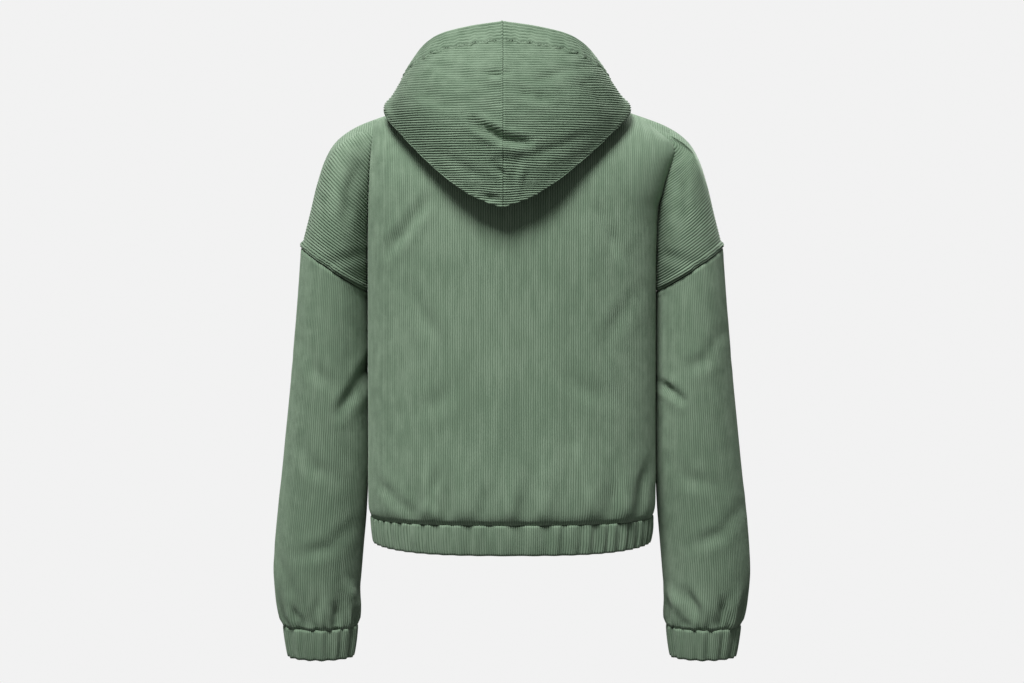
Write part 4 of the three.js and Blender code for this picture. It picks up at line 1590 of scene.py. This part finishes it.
@dataclass
class HemBand:
    """The gathered band round the hem.

    Attributes:
        wardrobe: the finishes.
        waves: gathers round it.
        height: their height.
        rows: rows of cloth up the band.
        fullness: length of the cloth to the way round.
    """

    wardrobe: Wardrobe
    waves: int = 52
    height: float = 1.5
    rows: int = 12
    fullness: float = 1.08

    def build(self) -> Object:
        """Builds the band."""
        dense = np.linspace(-180, 180, 8001)
        reach = path_lengths(self.line(dense, FORM.hem))
        place = rib_places(round(self.fullness * reach[-1] / PITCH))[:, None]
        turn = np.interp(np.linspace(0, reach[-1], len(place)), reach, dense)
        share = np.linspace(0, 1, self.rows + 1)
        low, high = self.line(turn, FORM.hem), self.line(turn, FORM.band_top)
        base = lerp(low[:, None], high[:, None], share[None, :, None])
        out = unit(base * [1, 1, 0])
        flat = np.where(np.abs(turn) <= 90, 1, ease(np.abs(low[:, 0]), 22, 55))[:, None]
        angle = np.radians(turn)[:, None]
        belly = np.sin(math.pi * share)
        gathers = self.height * np.sin(angle * self.waves) + 0.5 * np.sin(angle * 83 + 1) * belly
        wave = flat * gathers + 1.3 * belly**0.6
        outer, inner = (base + out * lift[..., None] for lift in (wave + rib_relief(place), wave - WALL))
        for points in (outer, inner):
            points[0, :, 0] = -SEAM / 2
            points[-1, :, 0] = SEAM / 2
        cloth = ClothMesh()
        cloth.add_shell(outer, inner, grain_at(place, share * (FORM.band_top - FORM.hem)), (2, 3))
        piece = cloth.to_object("hem_band_cloth", self.wardrobe)
        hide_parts("hem_band")
        return piece

    @staticmethod
    def line(turn: Array, z: float) -> Array:
        """The band's plain form at its top or bottom edge.

        Args:
            turn: degrees round from the centre back.
            z: the edge's height.

        Returns:
            Points round the band.
        """
        at = FORM.band_top - 1 if z == FORM.band_top else z
        back = FORM.torso_point(Face.BACK, np.minimum(np.abs(turn), 90), at)
        front = FORM.torso_point(Face.FRONT, np.minimum(180 - np.abs(turn), 90), at)
        points = np.where((np.abs(turn) <= 90)[:, None], back, front)
        points[:, 0] *= np.where(turn < 0, -1, 1)
        points[:, 2] = z
        if z == FORM.hem:
            points[:, 2] += lerp(-1.5, 4, np.abs(np.sin(np.radians(turn))) ** 3)
        return points


# Hood


# Turn round the neck, then the fold's and the rim's x, y and z, the rise inside and the swell outside
HOOD_ROWS = (
    (0, 0, 146, -134, 0, 96, 84, 30, 26),
    (24, 42, 142, -117, 42, 91, 78, 30, 25),
    (46, 84, 125, -85, 78, 76, 69, 29, 22),
    (66, 120, 94, -51, 100, 50, 54, 27, 15),
    (86, 146.5, 45, -21, 110, 15, 37, 24, 4),
    (106, 134, -20, -11, 105, -20, 20, 20, 4),
    (126, 103, -68, -42, 88, -54, -3, 17, 4),
    (146, 64, -98, -66, 59, -84, -29, 13, 4),
    (165, 30, -107, -80, 28, -101, -51, 9, 3),
    (178, 7, -110, -83, 9, -106, -58, 8, 3),
)
HOOD = Table(HOOD_ROWS)

HOOD_PUCKERS = (
    Crease(((44, -36), (26, -47), (10, -56), (-18, -60)), -7.0, 5, lip=0.5),
    Crease(((26, -70), (8, -71), (-12, -70)), 2.6, 6),
    Crease(((32, 22), (18, 19), (4, 21)), -3.2, 4),
    Crease(((-8, 2), (-22, -5), (-40, -8)), -2.6, 6),
    Crease(((22, -84), (12, -96), (9, -108)), -3.4, 4),
    Crease(((-14, -82), (-10, -98), (-8, -116)), 2.2, 4),
    Crease(((34, -122), (16, -125)), -3.0, 4),
    Crease(((60, -20), (90, -8), (112, 6)), -1.6, 8),
    Crease(((-80, 12), (-96, 2), (-114, -14)), -2.4, 7),
    Crease(((40, 8), (66, 22), (92, 30)), -1.4, 6),
    Crease(((-30, 12), (-60, 24), (-92, 30)), -1.6, 6),
    Crease(((-24, -76), (-50, -66), (-84, -50)), -1.8, 6),
    Crease(((36, -100), (58, -88), (84, -70)), -1.8, 6),
)


@dataclass
class HoodHalf:
    """Half of the hood, hanging down the back: the cloth inside, the outer cloth and the rim's channel.

    Attributes:
        hand: left or right.
        wardrobe: the finishes.
        seams: takes the stitches along the channel.
        shift: how far the hanging hood leans to the wearer's left.
        channel: width of the drawn-up channel along the rim.
        columns: columns of cloth from the centre seam to the front.
        rim_columns: the same in the channel.
        inner_ribs: pairs of ribs inside the hood.
        fold_place: share of a column's points before the hood's lower fold.
        samples: stretches that a column is sampled in.
    """

    hand: Hand
    wardrobe: Wardrobe
    seams: Stitching
    shift: float = 11.0
    channel: float = 30.0
    columns: int = 96
    rim_columns: int = 220
    inner_ribs: int = 22
    fold_place: float = 5 / 9
    samples: int = 540

    @property
    def fold_row(self) -> int:
        """Dense row of the hood's lower fold."""
        return round(self.fold_place * self.samples)

    @staticmethod
    def turns(count: int) -> Array:
        """Turns of the columns, closer together beside the centre seam."""
        return np.concatenate([(0, 0.3, 0.6, 0.95, 1.4, 2.1), np.linspace(3, 178, count - 5)])

    def dense(self, turn: Array) -> tuple[Array, Array]:
        """The hood's plain form, closely sampled down each column.

        Args:
            turn: degrees round the neck from the centre back.

        Returns:
            Points and outward normals, on the wearer's left and without the lean.
        """
        x = FORM.neck * np.sin(np.radians(turn))
        tops = ((face, FORM.top(face, x)) for face in (Face.BACK, Face.FRONT))
        back, front = (FORM.torso_point(face, FORM.turn_at(x, top), top) for face, top in tops)
        neck = np.where((turn <= 90)[:, None], back, front) + [0, 0, SEAM + 0.3]
        fold, rim = (np.stack([HOOD.read(turn, k) for k in at], axis=1) for at in ((1, 2, 3), (4, 5, 6)))
        rise, swell = HOOD.read(turn, 7)[:, None], HOOD.read(turn, 8)[:, None]
        out = unit((fold - neck) * [1, 1, 0])
        up = np.array([0.0, 0.0, 1.0])
        path = [
            neck,
            lerp(neck, fold, 0.06) + out + up * rise * 0.62,
            lerp(neck, fold, 0.26) - out + up * rise * 1.12,
            lerp(neck, fold, 0.6) + 2 * out + up * rise * 0.78,
            fold - 8 * out + 4.5 * up,
            fold - up,
            fold + 0.8 * out + 4.5 * up,
            lerp(fold, rim, 0.33) + out * swell * 0.95,
            lerp(fold, rim, 0.7) + out * swell * 0.85,
            rim,
        ]
        share = np.linspace(0, 1, self.samples + 1)
        points = rounded_path(np.stack(path, axis=1), share)
        points[..., 0] = np.maximum(points[..., 0], SHOWN_GAP / 2)
        points[0, :, 0] = SHOWN_GAP / 2
        outside = ((share > 0.7) & (share < 0.9))[None, :, None]
        return points, outward_normals(points, out[:, None] * outside)

    def leaned(self, points: Array, place: Array) -> Array:
        """Points on this half with the hood's lean.

        Args:
            points: points on the wearer's left.
            place: how far along the column each is, 0 to 1.

        Returns:
            The moved points.
        """
        lean = self.shift * ease(place, 0.1, 0.5) * (1 - 0.5 * (points[..., 0] / 150) ** 2)
        lean = np.where(points[..., 1] > 0, lean, lean * np.maximum(0, 1 + points[..., 1] / 60))
        moved = mirrored(points, self.hand)
        moved[..., 0] += lean
        return moved

    def both_sides(
        self, points: Array, normals: Array, rows: Array, lift: Array, wall: float = WALL
    ) -> tuple[Array, Array]:
        """Both sides of the cloth at places of the dense form.

        Args:
            points: dense points.
            normals: dense normals.
            rows: fractional row numbers, one row a column.
            lift: relief of the right side, or of the face that shows.
            wall: thickness of the cloth.

        Returns:
            Right side and wrong side.
        """
        at, out = along_rows(points, rows), unit(along_rows(normals, rows))
        sides = []
        for height in (lift, self.broad(lift) - wall):
            moved = at + out * height[..., None]
            moved[..., 0] = np.maximum(moved[..., 0], SHOWN_GAP / 2)
            moved[0, :, 0] = -SEAM_LAP if self.hand is Hand.LEFT else SHOWN_GAP / 2
            sides.append(self.leaned(moved, rows / self.samples))
        return sides[0], sides[1]

    @staticmethod
    def broad(lift: Array) -> Array:
        """The relief without the ribs."""
        kernel = np.ones(9) / 9
        padded = np.pad(lift, ((0, 0), (4, 4)), mode="edge")
        return np.apply_along_axis(lambda row: np.convolve(row, kernel, "valid"), 1, padded)

    def build(self) -> Object:
        """Builds this half of the hood."""
        cloth = ClothMesh()
        turn = self.turns(self.columns)
        points, normals = self.dense(turn)
        self.inner_part(cloth, turn, points, normals)
        self.outer_part(cloth, turn, points, normals)
        self.rim_part(cloth)
        name = self.hand.name.lower()
        piece = cloth.to_object(f"hood_cloth_{name}", self.wardrobe, tidy=True)
        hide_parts(f"hood_{name}")
        return piece

    def stitch_rows(self, turn: Array, reach: Array) -> Array:
        """Dense rows of the channel's stitch line.

        Args:
            turn: columns.
            reach: lengths down each column.

        Returns:
            One fractional row a column.
        """
        width = np.minimum(self.channel, 0.6 * (reach[:, -1] - reach[:, self.fold_row]))
        waves = 1.1 * np.sin(turn * 0.62) + 0.7 * np.sin(turn * 1.21 + 1)
        stitched = reach[:, -1] - width - waves * ease(98 - turn, 0, 20)
        index = np.arange(self.samples + 1, dtype=float)
        return np.array([np.interp(s, r, index) for s, r in zip(stitched, reach)])

    def seam_dip(self, x: Array) -> Array:
        """Relief beside the centre seam."""
        if self.hand is Hand.LEFT:
            return 1.3 * bell(x - 0.6, 1.2)
        return 0.5 * bell(x - 3.0, 1.4) - 0.5 * bell(x - 0.9, 0.8)

    def stray(self, x: Array, z: Array) -> Array:
        """How far the ribs stray from level near the centre seam."""
        at_tip = 2.5 * ease(-z, 95, 130) * ease(x, 4, 34)
        if self.hand is Hand.LEFT:
            return 2.0 * bell(x, 18) * bell(z + 10, 30) + at_tip
        return 3.2 * bell(x, 22) * bell(z + 78, 20) + at_tip

    def inner_part(self, cloth: ClothMesh, turn: Array, points: Array, normals: Array) -> None:
        """Adds the cloth from the neck seam, over, and down to the fold.

        Args:
            cloth: the mesh that it is added to.
            turn: columns.
            points: dense points.
            normals: dense normals.
        """
        place = rib_places(self.inner_ribs)[None]
        rows = np.repeat(place / self.inner_ribs * (self.fold_row + 2), len(turn), axis=0)
        lift = rib_relief(2 * place, 0.5 * RIB_HEIGHT) * np.ones_like(rows)
        outer, inner = self.both_sides(points, normals, rows, lift)
        cloth.add_shell(outer, inner, grain_at(2 * place, turn[:, None] * 1.6), (3, 4))

    def outer_part(self, cloth: ClothMesh, turn: Array, points: Array, normals: Array) -> None:
        """Adds the outer cloth, whose ribs lie level.

        Args:
            cloth: the mesh that it is added to.
            turn: columns.
            points: dense points.
            normals: dense normals.
        """
        z, fold = points[..., 2], self.fold_row
        index = np.arange(self.samples + 1, dtype=float)
        low = z[:, fold]
        stitched = self.stitch_rows(turn, path_lengths(points))
        high = np.array([np.interp(s, index, row) for s, row in zip(stitched, z)])
        # Round the front of the neck the ribs follow the rim
        base = (HOOD.read(turn, 6) - float(HOOD.read(98.0, 6))) * ease(turn, 90, 106)
        first = math.floor((low - base).min() / PITCH) - 1
        last = math.ceil((high - base).max() / PITCH) + 1
        level = first + rib_places(last - first)[None]
        across = points[:, int(0.75 * self.samples), 0][:, None]
        wanted = level * PITCH + base[:, None] + self.stray(across, level * PITCH)
        wanted = wanted + 0.16 * np.sin(across / 10.5 + level * 0.8)
        wanted = wanted + 0.12 * np.sin(across / 5.3 - level * 1.3)
        apart = ROW_APART * np.arange(level.size)[None]
        clipped = np.clip(wanted, low[:, None] + apart, high[:, None] - apart[:, ::-1])
        rows = np.stack([np.interp(c, r[fold:], index[fold:]) for c, r in zip(clipped, z)])
        at = along_rows(points, rows)
        ribs = level + (clipped - wanted) / PITCH
        puckers = relief_of(HOOD_PUCKERS, self.leaned(at, rows / self.samples))
        lift = rib_relief(ribs, OPEN_RIB_HEIGHT) + puckers + self.seam_dip(at[..., 0])
        outer, inner = self.both_sides(points, normals, rows, lift)
        cloth.add_shell(outer, inner, grain_at(ribs, turn[:, None] * 2.4), (3, 4))

    def rim_part(self, cloth: ClothMesh) -> None:
        """Adds the channel along the rim, drawn up into small gathers at its stitches."""
        turn = self.turns(self.rim_columns)
        points, normals = self.dense(turn)
        ribs = round(self.channel / CHANNEL_PITCH)
        share = rib_places(ribs)[None] / ribs
        rows = lerp(self.stitch_rows(turn, path_lengths(points))[:, None], float(self.samples), share)
        around = path_lengths(points[:, -1])[:, None]
        slant = TURN * (around + 22 * share)
        gather = 0.8 * np.sin(slant / 19 + 0.6) + 0.55 * np.sin(slant / 11.3)
        gather = gather * (1 - ease(share, 0.04, 0.5))
        bunched = 0.5 * np.sin(slant / 46) + 0.3 * np.sin(slant / 29 + 1)
        place = share * ribs + 0.12 * gather + ease(turn, 58, 84)[:, None] * bunched
        pull = 0.75 + 0.5 * np.sin(TURN * around / 11.3 + 2) + 0.3 * np.sin(TURN * around / 29)
        puff = 1.4 * np.sin(math.pi * np.clip(share * 0.96 + 0.04, 0, 1)) ** 0.6
        lift = rib_relief(place, 1.2 * OPEN_RIB_HEIGHT) + puff + 0.5 * gather
        lift = lift - 2.6 * bell(share, 0.075) * pull + self.seam_dip(points[:, -1, :1])
        outer, inner = self.both_sides(points, normals, rows, lift, wall=WALL + 1.4)
        cloth.add_shell(outer, inner, grain_at(place, around), (4, 4))
        self.seams.add(outer[2:-2, 3], unit(outer - inner)[2:-2, 3])


# Front closure


# Distance from the axis and height of a button's rings, from its back round its edge to the sunk middle
BUTTON_PROFILE = (
    (6.6, 0.0),
    (8.0, 0.45),
    (8.8, 1.2),
    (9.0, 1.7),
    (8.8, 2.3),
    (8.2, 2.75),
    (7.4, 2.9),
    (6.6, 2.75),
    (5.9, 2.3),
    (5.0, 2.0),
    (2.6, 1.95),
)
BUTTON_HOLES = ((1.5, 1.5), (-1.5, 1.5), (-1.5, -1.5), (1.5, -1.5))
HOLE_RIM = ((1.15, 1.9), (0.95, 2.2), (0.62, 2.15), (0.55, 1.7))


@dataclass
class Closure:
    """The placket strip with its buttons.

    Attributes:
        wardrobe: the finishes.
        seams: takes the stitches along the strip.
        width: width of the strip.
        top: height of its top edge.
        bottom: height of its bottom edge.
        lift: how far its face stands off the fronts.
        first: height of the first button.
        last: height of the last.
        count: number of buttons.
    """

    wardrobe: Wardrobe
    seams: Stitching
    width: float = 34.0
    top: float = -84.0
    bottom: float = -544.0
    lift: float = 2.9
    first: float = -104.0
    last: float = -527.0
    count: int = 6

    def strip(self) -> Object:
        """Builds the strip, with its buttonholes and edge stitches."""
        place = rib_places(round(self.width / PITCH))[:, None]
        x = np.linspace(-0.5, 0.5, len(place)) * self.width
        x, z = np.meshgrid(x, np.linspace(self.bottom, self.top, 184), indexing="ij")
        surface = FORM.torso_point(Face.FRONT, FORM.turn_at(np.abs(x), z), z)
        base = np.stack([x, surface[..., 1] - self.lift, z], axis=-1)
        lift = 0.7 * RIB_HEIGHT * (rib(place) - 1) + 0.25 * np.sin(z / 6) * np.abs(x) / 17
        lift = lift - 0.5 * bell(0.5 * self.width - np.abs(x) - 4, 1.0)
        for height in np.linspace(self.first, self.last, self.count):
            lift = lift - 0.5 * np.exp(-((x / 0.9) ** 4)) * np.exp(-(((z - height) / 9.5) ** 8))
        front = np.broadcast_to([0.0, -1.0, 0.0], base.shape)
        outer = base + front * lift[..., None]
        cloth = ClothMesh()
        cloth.add_shell(outer, base - front * WALL, grain_at(place, z))
        piece = cloth.to_object("placket_cloth", self.wardrobe)
        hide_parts("placket")
        for column in (6, len(place) - 7):
            self.seams.add(outer[column], front[column])
        return piece

    def button(self, number: int) -> Object:
        """Builds one four-hole button with its thread, where its solid lies.

        Args:
            number: the button's number, from 1 at the top.

        Returns:
            The piece.
        """
        low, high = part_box(f"button_{number}")
        centre = (low + high) / 2
        lean = math.atan2((high.y - low.y) - 0.003, 0.018)
        angles = TURN * np.arange(48) / 48
        ring = lambda x, y, r, h, every: [
            (x + r * math.cos(a), y + r * math.sin(a), h) for a in angles[::every]
        ]
        points = [point for r, h in BUTTON_PROFILE for point in ring(0, 0, r, h, 1)]
        faces = tube_faces(0, len(BUTTON_PROFILE), 48, capped=True)
        for x, y in BUTTON_HOLES:
            faces += tube_faces(len(points), len(HOLE_RIM), 12)
            points += [point for r, h in HOLE_RIM for point in ring(x, y, r, h, 4)]
        resin = len(faces)
        for (ax, ay), (bx, by) in zip(BUTTON_HOLES[:2], BUTTON_HOLES[2:]):
            side = np.array([ay - by, bx - ax]) / math.hypot(ay - by, bx - ax) * 0.45
            faces += tube_faces(len(points), 9, 6)
            for s in np.linspace(0, 1, 9):
                x, y, h = lerp(ax, bx, s), lerp(ay, by, s), 2.0 + 0.5 * math.sin(math.pi * s) ** 0.5
                turned = ((math.cos(a), math.sin(a)) for a in angles[::8])
                points += [(x + side[0] * c, y + side[1] * c, h + 0.35 * d) for c, d in turned]
        rows = []
        for x, y, h in points:
            # The button's axis points to the front, tipped with the front's slope
            out = 1.5 - h
            back = out * math.cos(lean) + y * math.sin(lean)
            rows.append((x, back, y * math.cos(lean) - out * math.sin(lean)))
        places = [Vector(row) * MM + centre for row in rows]
        looks = [self.wardrobe.resin, self.wardrobe.thread]
        piece = plain_object(f"sewn_button_{number}", places, faces, looks)
        piece.data.polygons.foreach_set("material_index", (np.arange(len(faces)) >= resin).astype(np.int32))
        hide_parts(f"button_{number}")
        return piece


# Studio


@dataclass
class Studio:
    """Floor, lights and camera.

    Attributes:
        floor: height of the floor, under the jacket.
        distance: from the camera to what it looks at.
        elevation: the camera's angle above level, in degrees.
        lens: focal length for a 36 mm wide frame.
        target: height that the camera looks at.
        reach: radius of the flat floor.
        bend: radius of the curve up into the wall.
        around: points in each of its rings.
        ambient: strength of the light from all round.
    """

    floor: float = -0.86
    distance: float = 3.0
    elevation: float = 3.0
    lens: float = 86.45
    target: float = -0.298
    reach: float = 5.0
    bend: float = 1.8
    around: int = 64
    ambient: float = 0.17

    def backdrop(self) -> None:
        """Builds a round floor that curves up into a wall."""
        wall = self.reach + self.bend
        arc = np.linspace(0, math.pi / 2, 13)[1:]
        profile = [(self.reach / 2, 0.0), (self.reach, 0.0)]
        profile += [(self.reach + self.bend * math.sin(a), self.bend * (1 - math.cos(a))) for a in arc]
        profile += [(wall, 4.0), (wall, 7.0)]
        angles = TURN * np.arange(self.around) / self.around
        points = [(0.0, 0.0, self.floor)]
        points += [(r * math.cos(a), r * math.sin(a), self.floor + h) for r, h in profile for a in angles]
        faces = [(0, 1 + k, 1 + (k + 1) % self.around) for k in range(self.around)]
        faces += [face[::-1] for face in tube_faces(1, len(profile), self.around)]
        paper = plain_object("backdrop", points, faces, [Paper().material()])
        paper.visible_diffuse = False
        paper.visible_glossy = False
        paper.visible_shadow = False

    def aim(self, thing: Object, place: tuple[float, float, float]) -> None:
        """Puts a light or the camera at a place, facing the jacket."""
        thing.location = place
        way = Vector((0, 0, self.target)) - Vector(place)
        thing.rotation_euler = way.to_track_quat("-Z", "Y").to_euler()

    def light(self, name: str, place: tuple[float, float, float], size: float, power: float) -> None:
        """Adds a soft box that faces the jacket.

        Args:
            name: the light's name.
            place: where it stands, in metres.
            size: its side.
            power: in watts.
        """
        data = bpy.data.lights.new(name, "AREA")
        data.shape = "SQUARE"
        data.size = size
        data.energy = power
        self.aim(linked(name, data), place)

    def build(self) -> None:
        """Builds the whole studio."""
        self.backdrop()
        self.light("back_key", (1.1, 3.6, 4.7), 2.0, 520)
        self.light("front_key", (-0.9, -4.0, 3.8), 2.8, 310)
        world = bpy.data.worlds.new("studio")
        world.use_nodes = True
        world.node_tree.nodes["Background"].inputs["Color"].default_value = (1, 1, 1, 1)
        world.node_tree.nodes["Background"].inputs["Strength"].default_value = self.ambient
        bpy.context.scene.world = world
        bpy.context.scene.view_settings.view_transform = "Standard"
        data = bpy.data.cameras.new("camera")
        data.lens = self.lens
        data.sensor_width = 36
        data.sensor_fit = "HORIZONTAL"
        data.clip_end = 50
        tilt = math.radians(self.elevation)
        camera = linked("camera", data)
        self.aim(camera, (0, self.distance * math.cos(tilt), self.target + self.distance * math.sin(tilt)))
        bpy.context.scene.camera = camera


# Assembly


@dataclass(frozen=True)
class Cut:
    """Flat cut of a piece of cloth.

    Attributes:
        width: in metres.
        length: in metres.
        held: how it is held.
        area: in square metres, where the cut isn't a rectangle.
    """

    width: float
    length: float
    held: str
    area: float | None = None


def finish_piece(piece: Object) -> None:
    """Fixes a piece to the jacket and reports it.

    Args:
        piece: the piece.
    """
    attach(piece, "root")
    piece.data.calc_loop_triangles()
    log.info("%s: %d triangles", piece.name, len(piece.data.loop_triangles))


def main() -> None:
    """Builds the jacket and the studio."""
    wardrobe = Wardrobe()
    armholes, hood_seams, closure_seams = Stitching(), Stitching(), Stitching()
    body = Body(wardrobe, armholes)
    cloths = [body.back()] + [body.front(hand) for hand in Hand]
    for hand in Hand:
        cloths += Sleeve(hand, wardrobe).build()
    cloths.append(HemBand(wardrobe).build())
    cloths += [HoodHalf(hand, wardrobe, hood_seams).build() for hand in Hand]
    closure = Closure(wardrobe, closure_seams)
    cloths.append(closure.strip())
    for piece in cloths:
        finish_piece(piece)
    for number in range(1, closure.count + 1):
        finish_piece(closure.button(number))
    stitched = {"armhole": armholes, "hood": hood_seams, "placket": closure_seams}
    for name, seams in stitched.items():
        finish_piece(seams.to_object(f"{name}_stitches", wardrobe))
    Studio().build()


if __name__ == "__main__":
    main()
